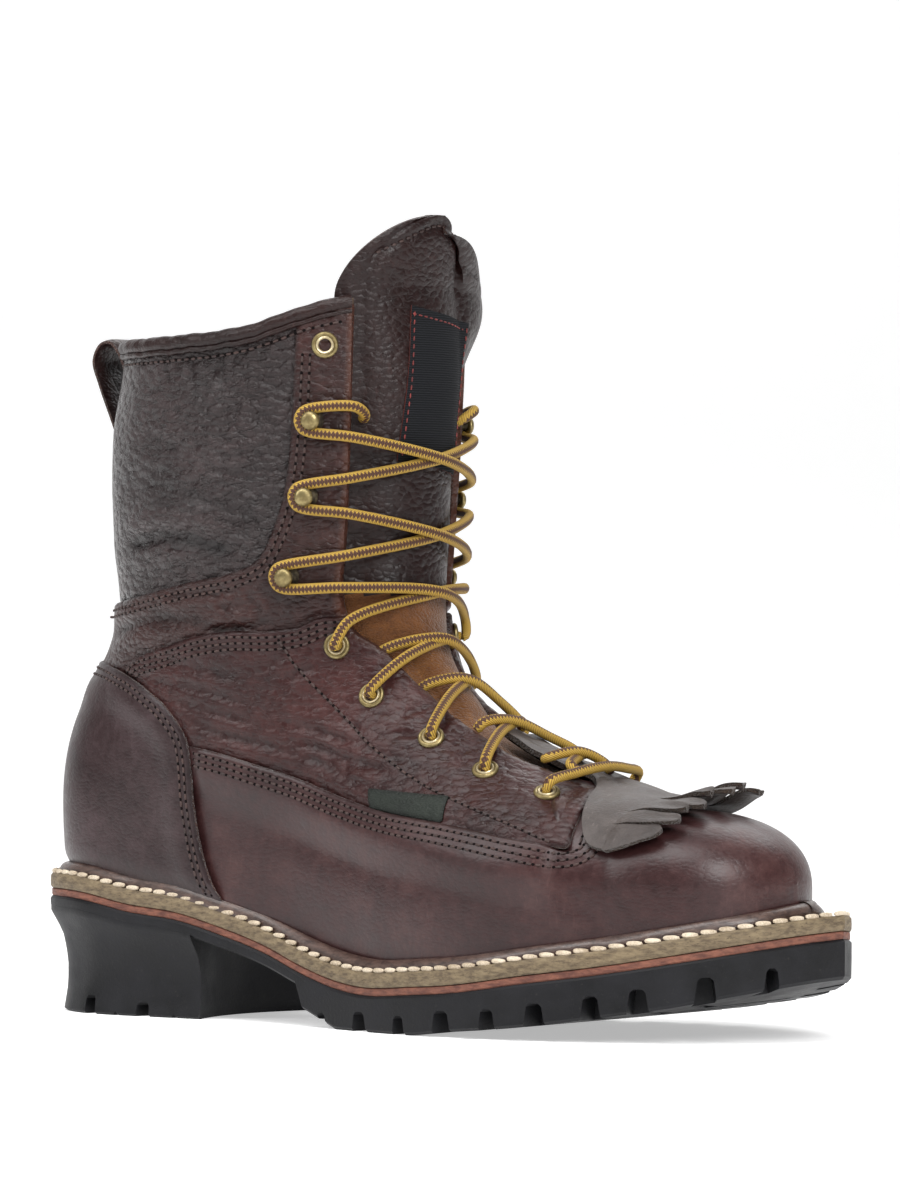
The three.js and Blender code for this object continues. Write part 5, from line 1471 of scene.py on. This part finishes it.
for i, level in enumerate(np.linspace(patchRows[0][0], patchRows[-1][0], 40)):
    for k, share in enumerate(np.linspace(0, 1, 30)):
        station = level - 0.05 * share
        y = float(patchOuter(station) + (patchInner(station) - patchOuter(station)) * share) * shaftWidth
        point, normal = tonguePoint(station, y / tongueHalf(station))
        rim = min(share, 1 - share, i / 40, (39 - i) / 40)
        patchNormals[i, k] = normal
        patchUpper[i, k] = point + normal * (0.75 - 0.3 * float(rim < 0.01))
        patchLower[i, k] = point + normal * 0.1
patchPiece = sheetOf("tongueBadge", patchUpper, patchLower, [clothPatch, threads["red"]])
dress(patchPiece, "patch_fabric", "tongue_patch")

kiltieRows = [
    # share of the length, outer edge, inner edge, rise
    [0.873, -34, 16, 2.4], [0.845, -37, 20, 2.2], [0.81, -38.5, 24, 1.3], [0.78, -37.5, 26, 0.6],
    [0.768, -33, 25, 0.3],
    [0.757, -26, 23, 0.2], [0.745, -17, 17, 0], [0.73, -11, 11, 0], [0.66, -10.2, 10.2, 0],
    [0.61, -9.4, 9.4, 0],
]
kiltieTable = [[-row[0], *row[1:]] for row in kiltieRows]
kiltieOuter, kiltieInner, kiltieRise = (curveOf(kiltieTable, k) for k in (1, 2, 3))
fringe = {
    "bounds": [0, 0.1, 0.2, 0.32, 0.45, 0.59, 0.73, 0.86, 1], "columns": 9, "root": 0.803, "tip": 0.873,
    "gap": 0.2,
    "curl": [0.3, 1.0, 1.4, 0.8, 1.6, 1.0, 1.5, 0.8],
    "reach": [-0.01, 0.0, -0.004, 0.002, -0.006, 0.002, -0.003, 0],
}
fringe["strips"] = len(fringe["bounds"]) - 1
kiltieShares = np.concatenate([
    fringe["tip"] - (fringe["tip"] - fringe["root"]) * np.linspace(0, 1, 44, endpoint=False) ** 1.3,
    np.linspace(fringe["root"], 0.61, 70),
])
stripShares = [
    (strip, k / (fringe["columns"] - 1)) for strip in range(fringe["strips"])
    for k in range(fringe["columns"])
]
kiltieUpper = np.zeros((len(kiltieShares), len(stripShares), 3))
kiltieLower = kiltieUpper.copy()
for i, share in enumerate(kiltieShares):
    out = float(smoothStep(share, fringe["root"] - 0.004, fringe["tip"]))
    low, high = float(kiltieOuter(-share)), float(kiltieInner(-share))
    for k, (strip, place) in enumerate(stripShares):
        pitch = fringe["bounds"][strip + 1] - fringe["bounds"][strip]
        gapHere = 0.002 + fringe["gap"] * max(0, (share - fringe["root"]) / (fringe["tip"] - fringe["root"]))
        end = min(1, (fringe["tip"] - share) / 0.012)
        narrow = (1 - (1 - end) ** 2.4) ** 0.5 if end < 1 else 1
        inside = (place - 0.5) * pitch * (1 - gapHere) * max(narrow, 0.35)
        across = fringe["bounds"][strip] + 0.5 * pitch + inside
        curl = fringe["curl"][strip] * out
        along = (share + fringe["reach"][strip] * out) * soleLength
        station = stationOf(along, 0)
        point, normal = onFront(station, low + (high - low) * across)
        lift = 0.8 + float(kiltieRise(-share)) * 0.7 + curl + 0.8 * curl * (place - 0.5) ** 2 * 4
        lift += 4.5 * out**2 * float(smoothStep(across, 0.4, 0.85))
        lift += 0.3 * sin(along / 5 + across * 9) + 0.25 * sin(along / 2.3 - across * 14)
        edgeDrop = 0.5 * (2 * abs(place - 0.5)) ** 6 * out
        kiltieUpper[i, k] = point + normal * (lift + 1.8 - edgeDrop)
        kiltieLower[i, k] = point + normal * lift
keep = np.ones((len(kiltieShares) - 1, len(stripShares) - 1), bool)
for strip in range(1, fringe["strips"]):
    keep[:44, strip * fringe["columns"] - 1] = False
kiltiePiece = sheetOf("fringe", kiltieUpper, kiltieLower, [hides["kiltie"], hides["kiltieEdge"]], keep)
dress(kiltiePiece, "kiltie_leather", "kiltie")

tagOutline = np.array([footSpot(s) for s in [[0.515, 0.575], [0.617, 0.538], [0.62, 0.47], [0.518, 0.52]]])
tagInside = insideOf(gridX, gridZ, tagOutline)
tagLift = quarterTop - relief + 0.75
tagPiece = cutSheet(
    "sideTag", outerColumns, tagInside, tagLift, np.full(gridX.shape, 0.7), [hides["tag"]],
    {"dent": 0 * relief},
)
dress(tagPiece, "patch_fabric", "quarter_tag")
print("soft pieces")

# Repeated pieces by Geometry Nodes
repeater = bpy.data.node_groups.new("repeatAlong", "GeometryNodeTree")
repeater.interface.new_socket("Geometry", in_out="INPUT", socket_type="NodeSocketGeometry")
repeatShape = repeater.interface.new_socket(
    "Shape", in_out="INPUT", socket_type="NodeSocketObject",
).identifier
repeatSize = repeater.interface.new_socket("Size", in_out="INPUT", socket_type="NodeSocketFloat").identifier
repeatSurface = repeater.interface.new_socket(
    "Surface", in_out="INPUT", socket_type="NodeSocketMaterial",
).identifier
repeater.interface.new_socket("Geometry", in_out="OUTPUT", socket_type="NodeSocketGeometry")
given = repeater.nodes.new("NodeGroupInput").outputs
shape = node(repeater, "GeometryNodeObjectInfo", {"Object": given["Shape"]}).outputs["Geometry"]
turn = node(
    repeater, "GeometryNodeInputNamedAttribute", {"Name": "turn"}, data_type="FLOAT_VECTOR",
).outputs[0]
rotation = node(repeater, "FunctionNodeEulerToRotation", {"Euler": turn}).outputs[0]
wanted = {"Points": given["Geometry"], "Instance": shape, "Rotation": rotation, "Scale": given["Size"]}
placed = node(repeater, "GeometryNodeInstanceOnPoints", wanted).outputs[0]
solid = node(repeater, "GeometryNodeRealizeInstances", {"Geometry": placed}).outputs[0]
surfaced = node(
    repeater, "GeometryNodeSetMaterial", {"Geometry": solid, "Material": given["Surface"]},
).outputs[0]
repeater.links.new(surfaced, repeater.nodes.new("NodeGroupOutput").inputs[0])


def repeatAt(name, places, alongs, normals, template, surface, size=1.0, sharp=50):
    # one piece made of the template at every place, its x along and its z out of the surface
    turns = []
    for along, normal in zip(alongs, normals):
        z = Vector(normal).normalized()
        x = Vector(along)
        x = (x - z * x.dot(z)).normalized()
        y = z.cross(x)
        turns += list(Matrix((x, y, z)).transposed().to_euler())
    mesh = bpy.data.meshes.new(name)
    mesh.from_pydata(toFrame(places).tolist(), [], [])
    mesh.attributes.new("turn", "FLOAT_VECTOR", "POINT").data.foreach_set("vector", turns)
    piece = bpy.data.objects.new(name, mesh)
    bpy.context.scene.collection.objects.link(piece)
    modifier = piece.modifiers.new("repeat", "NODES")
    modifier.node_group = repeater
    modifier[repeatShape] = template
    modifier[repeatSize] = size
    modifier[repeatSurface] = surface
    made = bpy.data.meshes.new_from_object(piece.evaluated_get(bpy.context.evaluated_depsgraph_get()))
    piece.modifiers.clear()
    piece.data = made
    made.name = name
    bpy.data.meshes.remove(mesh)
    for attribute in [a.name for a in made.attributes if a.name == "turn"]:
        made.attributes.remove(made.attributes[attribute])
    made.polygons.foreach_set("use_smooth", np.ones(len(made.polygons), bool))
    made.set_sharp_from_angle(angle=radians(sharp))
    return piece


def templateOf(name, points, faces):
    mesh = bpy.data.meshes.new(name)
    mesh.from_pydata((np.asarray(points, float) / 1000).tolist(), [], faces)
    piece = bpy.data.objects.new(name, mesh)
    bpy.context.scene.collection.objects.link(piece)
    return turnedOut(piece)


def pillTemplate(name, length, width, height, rings=6, sides=7):
    points, faces = [[-length / 2, 0, 0]], []
    for k in range(1, rings):
        turn = pi * k / rings
        r = sin(turn) ** 0.6
        for j in range(sides):
            a = 2 * pi * j / sides
            points.append([-cos(turn) * length / 2, cos(a) * r * width / 2, sin(a) * r * height / 2])
    points.append([length / 2, 0, 0])
    for j in range(sides):
        n = (j + 1) % sides
        faces.append([0, 1 + j, 1 + n])
        faces.append([len(points) - 1, 1 + (rings - 2) * sides + n, 1 + (rings - 2) * sides + j])
        for k in range(rings - 2):
            faces.append(
                [1 + k * sides + j, 1 + (k + 1) * sides + j, 1 + (k + 1) * sides + n, 1 + k * sides + n],
            )
    return templateOf(name, points, faces)


def latheTemplate(name, profile, sides=20, closed=True):
    points, faces = [], []
    for r, z in profile:
        for j in range(sides):
            a = 2 * pi * j / sides
            points.append([cos(a) * max(r, 0.02), sin(a) * max(r, 0.02), z])
    count = len(profile)
    for i in range(count if closed else count - 1):
        k = (i + 1) % count
        for j in range(sides):
            n = (j + 1) % sides
            faces.append([i * sides + j, i * sides + n, k * sides + n, k * sides + j])
    if not closed:
        faces.append(list(range(sides))[::-1])
        faces.append([(count - 1) * sides + j for j in range(sides)])
    return templateOf(name, points, faces)


seatPoints, seatFaces = [], []
for piece in [o for o in bpy.context.scene.objects if o.type == "MESH"]:
    if piece.name.startswith(
        ("vamp", "quarterO", "quarterI", "facing", "shaftPanel", "heelCounter", "backStrip"),
    ):
        base = len(seatPoints)
        seatPoints += [v.co[:] for v in piece.data.vertices]
        seatFaces += [[base + i for i in p.vertices] for p in piece.data.polygons]
seatTree = BVHTree.FromPolygons(seatPoints, seatFaces)
print("seats")


def seated(points, normals):
    # the leather's surface under every point, from outside
    made = []
    starts = toFrame(points + normals * 7)
    for start, point, normal in zip(starts, points, normals):
        hit = seatTree.ray_cast(Vector(start), -Vector(normal), 0.016)
        place = np.array(hit[0]) * 1000 + [bootSizes["heelLength"] / 2, 0, 0] if hit[0] else point * np.nan
        made.append(place)
    return np.array(made)


def offsetLine(line, distance):
    # line moved sideways in its own plane
    line = np.asarray(line, float)
    along = np.gradient(line, axis=0)
    along /= np.linalg.norm(along, axis=1)[:, None]
    return line + np.stack([along[:, 1], -along[:, 0]], axis=1) * distance


stitchSizes = {"pitch": 2.9, "length": 2.0, "width": 0.85, "height": 0.75, "hole": 1.05}
stitchPlaces, stitchAlongs, stitchNormals, holePlaces, holeAlongs, holeNormals = [], [], [], [], [], []


def stitchPath(points, pitch=None):
    # stitches, and dark dots of painted shade for the needle holes, along points that lie on the leather
    pitch = pitch or stitchSizes["pitch"]
    run = evenly(points, pitch=pitch / 2)
    normals = formNormal(run)
    run = seated(run, normals)
    found = np.isfinite(run[:, 0])
    along = np.gradient(run, axis=0)
    found &= np.isfinite(along[:, 0])
    mid = found & (np.arange(len(run)) % 2 == 1)
    ends = found & ~mid
    stitchPlaces.extend(run[mid] + normals[mid] * 0.12)
    stitchAlongs.extend(along[mid])
    stitchNormals.extend(normals[mid])
    holePlaces.extend(run[ends] + normals[ends] * 0.05)
    holeAlongs.extend(along[ends])
    holeNormals.extend(normals[ends])


def stitchSide(line, limit=None):
    for side in (outer, inner):
        points = softLine(line, 4) if len(line) < 12 else np.asarray(line)
        run = onSide(points[:, 0], points[:, 1], side)
        if limit is not None:
            run = run[limit(run)]
        if len(run) > 3:
            stitchPath(run)


def pastCounter(run):
    return insideOf(run[:, 0], run[:, 2], counterOutline) < -0.8


for distance, curl in (
    (1.9, [[240.2, 59.2], [241.6, 61.5]]), (3.9, [[241, 57], [243.6, 59.6], [244, 62]]),
    (5.9, [[242, 55], [245.6, 58], [246.4, 61.5]]),
):
    row = offsetLine(vampLine, distance)
    stitchSide(softLine(np.vstack([row[row[:, 0] < 236][::8], curl]), 8), limit=pastCounter)
    stitchSide(offsetLine(quarterTopLine, distance), limit=lambda r: pastCounter(r) & (r[:, 0] > 50))
for distance in (2.3, 4.4):
    stitchSide(
        offsetLine(counterLine, distance), limit=lambda r: (r[:, 2] > weltTop(r[:, 0]) + 4) & (r[:, 0] > 24),
    )
    stitchSide(
        offsetLine(ankleBandLine, -distance), limit=lambda r: (r[:, 2] < 217) & (np.abs(r[:, 1]) > 14),
    )
stitchSide([
    [119, 123.5], [125, 114.5], [135.7, 104.3], [150.8, 92.3], [167.4, 82.5], [185.1, 74.6], [202.3, 69],
    [216.9, 64.7],
    [230.5, 60.3],
])
stitchSide(offsetLine(quarterFrontLine, 2.8)[6:34])
bindingRow = collarPoints - [0, 0, 6.6]
stitchPath(bindingRow[3:-3])
pill = pillTemplate("pill", stitchSizes["length"], stitchSizes["width"], stitchSizes["height"])
dot = pillTemplate("dot", stitchSizes["hole"], 0.9 * stitchSizes["hole"], 0.4, 4, 6)
dress(
    repeatAt("seamStitches", stitchPlaces, stitchAlongs, stitchNormals, pill, threads["brown"]),
    "upper_leather",
)
# dark dots at the stitches' ends, painted shade for the needle holes
dress(repeatAt("needleHoles", holePlaces, holeAlongs, holeNormals, dot, threads["hole"]), "upper_leather")
print("stitches", len(stitchPlaces))

# Seam of the patch's border and the arched seam of the tongue's top
borderWays = [(slice(2, 38), 1), (slice(2, 38), 28), (2, slice(1, 29)), (37, slice(1, 29))]
borderPlaces, borderAlongs, borderNormals = [], [], []
for rowPick, columnPick in borderWays:
    run = evenly(np.hstack([patchUpper[rowPick, columnPick], patchNormals[rowPick, columnPick]]), pitch=2.6)
    borderPlaces.extend(run[:, :3] + run[:, 3:] * 0.1)
    borderAlongs.extend(np.gradient(run[:, :3], axis=0))
    borderNormals.extend(run[:, 3:])
small = pillTemplate("small", 1.7, 0.55, 0.5, 5, 6)
dress(
    repeatAt("badgeStitches", borderPlaces, borderAlongs, borderNormals, small, threads["badge"]),
    "patch_fabric",
)
archWays = [
    tonguePoint(3.12 + 0.1 * (1 - (across / 0.8) ** 2), across, 0.15)
    for across in np.linspace(-0.8, 0.46, 60)
]
run = evenly(np.array([[*point, *normal] for point, normal in archWays]), pitch=2.9)
archAlongs = np.gradient(run[:, :3], axis=0)
dress(
    repeatAt("tongueStitches", run[:, :3], archAlongs, run[:, 3:], pill, threads["brown"]), "tongue_leather",
)

weltSeam = {"pitch": 5.7, "length": 5.3, "width": 1.7, "height": 1.8, "inset": 1.3, "lean": 0.2}
seamLine = solePlan + soleInward * weltSeam["inset"]
seamLine = evenly(seamLine, pitch=weltSeam["pitch"], closed=True)
seamAlong = np.roll(seamLine, -1, 0) - np.roll(seamLine, 1, 0)
seamHeight = weltTop(seamLine[:, 0]) + 0.6
seamRise = weltTop(seamLine[:, 0] + 1) - weltTop(seamLine[:, 0])
seamPlaces = np.column_stack([seamLine, seamHeight])
length = np.linalg.norm(seamAlong, axis=1)
facingToe = np.sign(seamAlong[:, 0])
seamAlongs = np.column_stack([seamAlong, seamAlong[:, 0] * seamRise - weltSeam["lean"] * length * facingToe])
fat = pillTemplate("fat", weltSeam["length"], weltSeam["width"], weltSeam["height"])
dress(
    repeatAt("weltStitches", seamPlaces, seamAlongs, [[0, 0, 1]] * len(seamPlaces), fat, threads["cream"]),
    "welt_leather",
)

# Eyelets and hooks
eyeletSpots = [
    [stationOf(*footSpot([0.712, 0.527])), 0.245],
    [stationOf(*footSpot([0.636, 0.607])), 0.25],
    [stationOf(*footSpot([0.565, 0.71])), 0.243],
    [stationOf(*footSpot([0.49, 0.835])), 0.24],
    [stationOf(*footSpot([0.443, 0.945])), 0.276],
    [2.783, 0.379],
]
hookSpots = [[1.963, 0.394], [2.242, 0.397], [2.514, 0.395]]


def overSpot(spot, side, lift):
    return onFront(spot[0], float(middleY(spot[0])) + side * spot[1] * shaftWidth, lift)


def metalSeats(spots):
    places, normals = [], []
    for side in (outer, inner):
        for spot in spots:
            point, normal = overSpot(spot, side, 0)
            places.append(seated(point[None], normal[None])[0])
            normals.append(normal)
    return np.array(places), np.array(normals)


metals = {}
for key, dark, light, roughness in (
    ("olive", (118, 104, 70), (146, 132, 92), 0.32),
    ("cream", (176, 162, 128), (226, 212, 178), 0.3),
    ("dark", (48, 42, 35), (84, 75, 58), 0.45),
):
    made, tree, shader = plainMaterial(key + "Metal", tone(*light), roughness)
    shader.inputs["Metallic"].default_value = 0.85
    coords = node(tree, "ShaderNodeTexCoord").outputs["Object"]
    spots = noiseOf(tree, coords, 420, 4, 0.6)
    tree.links.new(
        mixed(tree, remap(tree, spots, 0.42, 0.6), tone(*dark), tone(*light)), shader.inputs["Base Color"],
    )
    tree.links.new(remap(tree, spots, 0.35, 0.65, roughness + 0.25, roughness), shader.inputs["Roughness"])
    metals[key] = made
eyeletRing = latheTemplate("eyeletRing", [
    (2.9, -0.2), (4.2, -0.2), (4.32, 0.3), (4.1, 0.75), (3.6, 1.0), (3.1, 0.85), (2.9, 0.5),
])
eyeletBarrel = latheTemplate("eyeletBarrel", [
    (1.95, -4.2), (2.6, -4.2), (2.7, -0.2), (3.0, 0.4), (2.95, 0.95), (2.6, 1.2), (2.2, 1.05), (1.98, 0.5),
])
hookFoot = latheTemplate(
    "hookFoot", [(0, 0), (3.9, 0), (4.0, 0.4), (3.6, 0.85), (2.2, 1.0), (1.6, 1.5), (1.5, 4.4), (0, 4.4)],
    closed=False,
)
hookCap = latheTemplate("hookCap", [
    (0, 4.2), (2.4, 4.2), (2.95, 4.5), (3.05, 5.0), (2.8, 5.6), (2.15, 6.1), (1.2, 6.4), (0, 6.5),
], closed=False)
eyeletPlaces, eyeletNormals = metalSeats(eyeletSpots)
hookPlaces, hookNormals = metalSeats(hookSpots)
up = [[0, 0, 1]] * 12
eyeletNames = [f"eyelet_{word}_{i}" for word in ("outer", "inner") for i in range(1, 7)]
hookNames = [f"hook_{word}_{i}" for word in ("outer", "inner") for i in range(1, 4)]
dress(
    repeatAt("eyeletRings", eyeletPlaces, up, eyeletNormals, eyeletRing, metals["olive"]), "aged_brass",
    *eyeletNames,
)
dress(
    repeatAt("eyeletBarrels", eyeletPlaces, up, eyeletNormals, eyeletBarrel, metals["cream"]), "aged_brass",
)
dress(
    repeatAt("hookFeet", hookPlaces, up[:6], hookNormals, hookFoot, metals["dark"]), "aged_brass",
    *hookNames,
)
dress(repeatAt("hookCaps", hookPlaces, up[:6], hookNormals, hookCap, metals["olive"]), "aged_brass")
for template in (pill, dot, small, fat, eyeletRing, eyeletBarrel, hookFoot, hookCap):
    bpy.data.objects.remove(template)

# Lace
laceSizes = {"radius": 1.8, "flat": 0.88, "sides": 12, "pitch": 0.9, "inset": 3}
laceMaterial, tree, shader = plainMaterial("laceCord", tone(224, 188, 84), 0.75)
places = node(tree, "ShaderNodeUVMap", uv_map="cord").outputs[0]
split = node(tree, "ShaderNodeSeparateXYZ", {0: places})
teeth = maths(tree, "PINGPONG", split.outputs["Y"], 0.62)
across = maths(tree, "ABSOLUTE", maths(tree, "SUBTRACT", split.outputs["X"], 0.5))
reach = maths(tree, "ADD", maths(tree, "MULTIPLY", teeth, 0.17), 0.025)
core = remap(tree, maths(tree, "SUBTRACT", across, reach), 0.008, -0.008)
backCore = remap(tree, across, 0.4, 0.43)
core = maths(tree, "MAXIMUM", core, backCore)
strand = maths(
    tree, "PINGPONG", maths(tree, "ADD", split.outputs["Y"], maths(tree, "MULTIPLY", across, 9)), 0.4,
)
coords = node(tree, "ShaderNodeTexCoord").outputs["Object"]
dusty = noiseOf(tree, coords, 500, 4)
brown = mixed(tree, remap(tree, strand, 0.08, 0.3), tone(38, 20, 12), tone(84, 48, 28))
yellow = mixed(tree, remap(tree, strand, 0.05, 0.25), tone(112, 80, 22), tone(186, 152, 60))
yellow = mixed(tree, remap(tree, dusty, 0.5, 0.7, 0, 0.4), yellow, tone(160, 132, 66))
tree.links.new(mixed(tree, core, yellow, brown), shader.inputs["Base Color"])
raised = node(tree, "ShaderNodeBump", {"Strength": 0.7, "Distance": 0.0004, "Height": strand})
tree.links.new(raised.outputs[0], shader.inputs["Normal"])


def cordOf(name, knots, *nodes):
    path = evenly(softLine(np.array(knots), 14), pitch=laceSizes["pitch"])
    along = np.gradient(path, axis=0)
    along /= np.linalg.norm(along, axis=1)[:, None]
    out = formNormal(path)
    out -= along * np.sum(out * along, axis=1)[:, None]
    out /= np.linalg.norm(out, axis=1)[:, None]
    side = np.cross(along, out)
    sides = laceSizes["sides"]
    rings = []
    for i in range(len(path)):
        ends = min(i, len(path) - 1 - i)
        radius = laceSizes["radius"] * (0.75 if ends == 0 else 1)
        ring = []
        for j in range(sides):
            a = 2 * pi * (j + 0.5) / sides
            ring.append(path[i] - out[i] * cos(a) * radius * laceSizes["flat"] + side[i] * sin(a) * radius)
        rings.append(ring)
    piece = loftOf(name, rings, [laceMaterial], sharp=60)
    uv = piece.data.uv_layers.new(name="cord")
    length = np.concatenate([[0], np.cumsum(np.linalg.norm(np.diff(path, axis=0), axis=1))])
    count = len(path)
    for polygon in piece.data.polygons:
        corners = [piece.data.loops[k].vertex_index for k in polygon.loop_indices]
        columns = [c % sides for c in corners]
        wraps = max(columns) - min(columns) > sides / 2
        for k, corner, column in zip(polygon.loop_indices, corners, columns):
            u = (column + (sides if wraps and column < sides / 2 else 0) + 0.5) / sides
            uv.data[k].uv = (u, float(length[min(corner // sides, count - 1)]))
    dress(piece, "lace_cord", *nodes)


def onLace(station, y, lift):
    return onFront(station, float(middleY(station)) + y, lift)[0]


def overEdge(station, side, lift):
    return onLace(station, side * float(throatHalf(station)), lift)


def underEdge(station, side, lift):
    return onLace(station, side * (float(throatHalf(station)) - laceSizes["inset"]), lift)


def between(a, b, share):
    return a + (b - a) * share


def throughEyelet(i, side):
    # up through the eyelet from the inside
    return [overSpot(eyeletSpots[i], side, lift)[0] for lift in (-1.5, 2.4)]


first = eyeletSpots[0][0]
barKnots = throughEyelet(0, outer) + [
    overSpot(eyeletSpots[0], outer, 5.6)[0] + np.array([0.8, 0.8, 0]),
    onLace(first - 0.022, -13.2, 5.6),
    onLace(first - 0.03, 0, 6.2),
    onLace(first - 0.022, 13.2, 5.6),
    overSpot(eyeletSpots[0], inner, 5.6)[0] + np.array([0.8, -0.8, 0]),
] + throughEyelet(0, inner)[::-1]
cordOf("laceBar", barKnots, "lace_bar")


def crossingKnots(i, side):
    start, end = eyeletSpots[i][0], eyeletSpots[i + 1][0]
    endLift = {1: 3.5}.get(i, 0.2)
    reach = {1: 0.54, 2: 0.72, 3: 0.62}[i]
    return throughEyelet(i, side) + [
        overSpot(eyeletSpots[i], side, 5.2)[0] + np.array([0, -0.7 * side, 0.3]),
        overEdge(between(start, end, 0.3 * reach), side, 4.7),
        onLace(between(start, end, 0.66 * reach), 0, 3.2 if side == outer else 5.4),
        underEdge(between(start, end, 0.95 * reach), -side, endLift + 0.8),
        onLace(between(start, end, reach), -side * (float(throatHalf(end)) - 0.5), endLift - 1.6),
    ]


def firstKnots(side):
    start, end = eyeletSpots[0][0], eyeletSpots[1][0]
    return [
        underEdge(between(start, end, -0.08), side, 3.4),
        underEdge(between(start, end, 0.08), side, 5.0),
        onLace(between(start, end, 0.27), 0, 5.1 if side == outer else 7.2),
        underEdge(between(start, end, 0.44), -side, 4.8),
        underEdge(between(start, end, 0.52), -side, 3.0),
    ]


for side, word in ((outer, "Outer"), (inner, "Inner")):
    cordOf("laceFirst" + word, firstKnots(side), *(["lace_crossing_1"] if side == outer else []))
    for i in (1, 2, 3):
        nodes = [f"lace_crossing_{i + 1}"] if side == outer else []
        cordOf(f"laceCross{word}{i}", crossingKnots(i, side), *nodes)


def roundHook(i, side):
    foot, out = overSpot(hookSpots[i], side, 0)
    upward = np.array([0, 0, 1.0]) - out * out[2]
    upward /= np.linalg.norm(upward)
    toThroat = np.cross(upward, out) * -side
    radius = 1.6 + laceSizes["radius"] + 0.3
    knots = []
    for degrees in (-95, -137, -180, -223, -265):
        turn = radians(degrees)
        knots.append(foot + out * 5.1 + toThroat * radius * cos(turn) + upward * radius * sin(turn))
    return knots


for side, word in ((outer, "Outer"), (inner, "Inner")):
    knots = throughEyelet(4, side) + [overSpot(eyeletSpots[4], side, 5.4)[0]]
    station, here = eyeletSpots[4][0], side
    for i, (following, _) in enumerate(hookSpots):
        knots.append(overEdge(between(station, following, 0.25), here, 5.3))
        knots.append(onLace(between(station, following, 0.5), 0, 2.9 if here == outer else 5.6))
        knots.append(overEdge(between(station, following, 0.78), -here, 5.3))
        here = -here
        knots += roundHook(i, here)
        station = following
    knots.append(overEdge(station + 0.05, here, 5.0))
    knots.append(underEdge(station + 0.02, here, 1.6))
    knots.append(underEdge(station + 0.0, here, -1.2))
    cordOf("laceHooks" + word, knots, *(["lace_hooks"] if side == outer else []))
print("lace")

# Insole, floor, light, camera
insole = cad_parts["insole"]
insole.data.materials.clear()
insole.data.materials.append(hides["insole"])

stageSizes = {"front": 6000, "back": 1500, "sideways": 3000, "curve": 900, "height": 2600}
profile = [[stageSizes["front"], 0], [-stageSizes["back"], 0]]
for k in range(1, 17):
    turn = k / 16 * pi / 2
    profile.append(
        [-stageSizes["back"] - stageSizes["curve"] * sin(turn), stageSizes["curve"] * (1 - cos(turn))],
    )
profile.append([-stageSizes["back"] - stageSizes["curve"], stageSizes["height"]])
heading = radians(37)
depth = np.array([sin(heading), -cos(heading)])
across = np.array([cos(heading), sin(heading)])
points, faces = [], []
for reach, z in profile:
    for side in (-1, 1):
        flat = depth * reach + across * side * stageSizes["sideways"]
        points.append([flat[0] + 43, flat[1], z])
for i in range(len(profile) - 1):
    faces.append([2 * i, 2 * i + 1, 2 * i + 3, 2 * i + 2])
stageMaterial, tree, shader = plainMaterial(
    "paleStage", (0.8, 0.8, 0.8, 1), 0.9, **{"Emission Color": (1, 1, 1, 1), "Emission Strength": 0.44},
)
# the backdrop is clear from its back, so the boot can be looked at from behind
backSide = node(tree, "ShaderNodeNewGeometry").outputs["Backfacing"]
clear = node(tree, "ShaderNodeBsdfTransparent").outputs[0]
oneSided = node(tree, "ShaderNodeMixShader", {0: backSide, 1: shader.outputs[0], 2: clear}).outputs[0]
tree.links.new(oneSided, tree.nodes["Material Output"].inputs["Surface"])
floor = finishMesh("floor", points, faces, [stageMaterial], sharp=60)

scene = bpy.context.scene
world = bpy.data.worlds.new("studio")
world.use_nodes = True
tree = world.node_tree
seen = node(tree, "ShaderNodeLightPath").outputs["Is Camera Ray"]
tree.nodes["Background"].inputs["Color"].default_value = (1, 1, 1, 1)
tree.links.new(remap(tree, seen, 0, 1, 0.2, 0.9), tree.nodes["Background"].inputs["Strength"])
scene.world = world


def softLight(name, place, target, size, power):
    lamp = bpy.data.lights.new(name, "AREA")
    lamp.energy = power
    lamp.shape = "RECTANGLE"
    lamp.size, lamp.size_y = size
    holder = bpy.data.objects.new(name, lamp)
    holder.location = place
    holder.rotation_euler = (Vector(target) - Vector(place)).to_track_quat("-Z", "Y").to_euler()
    scene.collection.objects.link(holder)


middle = (0.1, 0, 0.1)
# name, place, size and power of each soft light
lightRows = [
    ["overhead", (0.1, -0.6, 1.45), (1.2, 0.9), 19],
    ["leftSoft", (-0.75, -1.15, 0.95), (0.4, 0.9), 9],
    ["backSoft", (-0.1, 0.9, 1.2), (1.3, 0.8), 8],
    ["rightSoft", (1.3, -0.6, 0.9), (0.6, 0.9), 18],
]
for name, place, size, power in lightRows:
    softLight(name, place, middle, size, power)
cameraSizes = {"lens": 195.8, "sensor": 36, "place": (1.3806, -1.6771, 0.1363)}
camera = bpy.data.cameras.new("main")
camera.lens = cameraSizes["lens"]
camera.sensor_width = cameraSizes["sensor"]
cameraHolder = bpy.data.objects.new("main", camera)
cameraHolder.location = cameraSizes["place"]
cameraHolder.rotation_euler = (radians(90), 0, heading)
scene.collection.objects.link(cameraHolder)
scene.camera = cameraHolder
scene.view_settings.view_transform = "Standard"
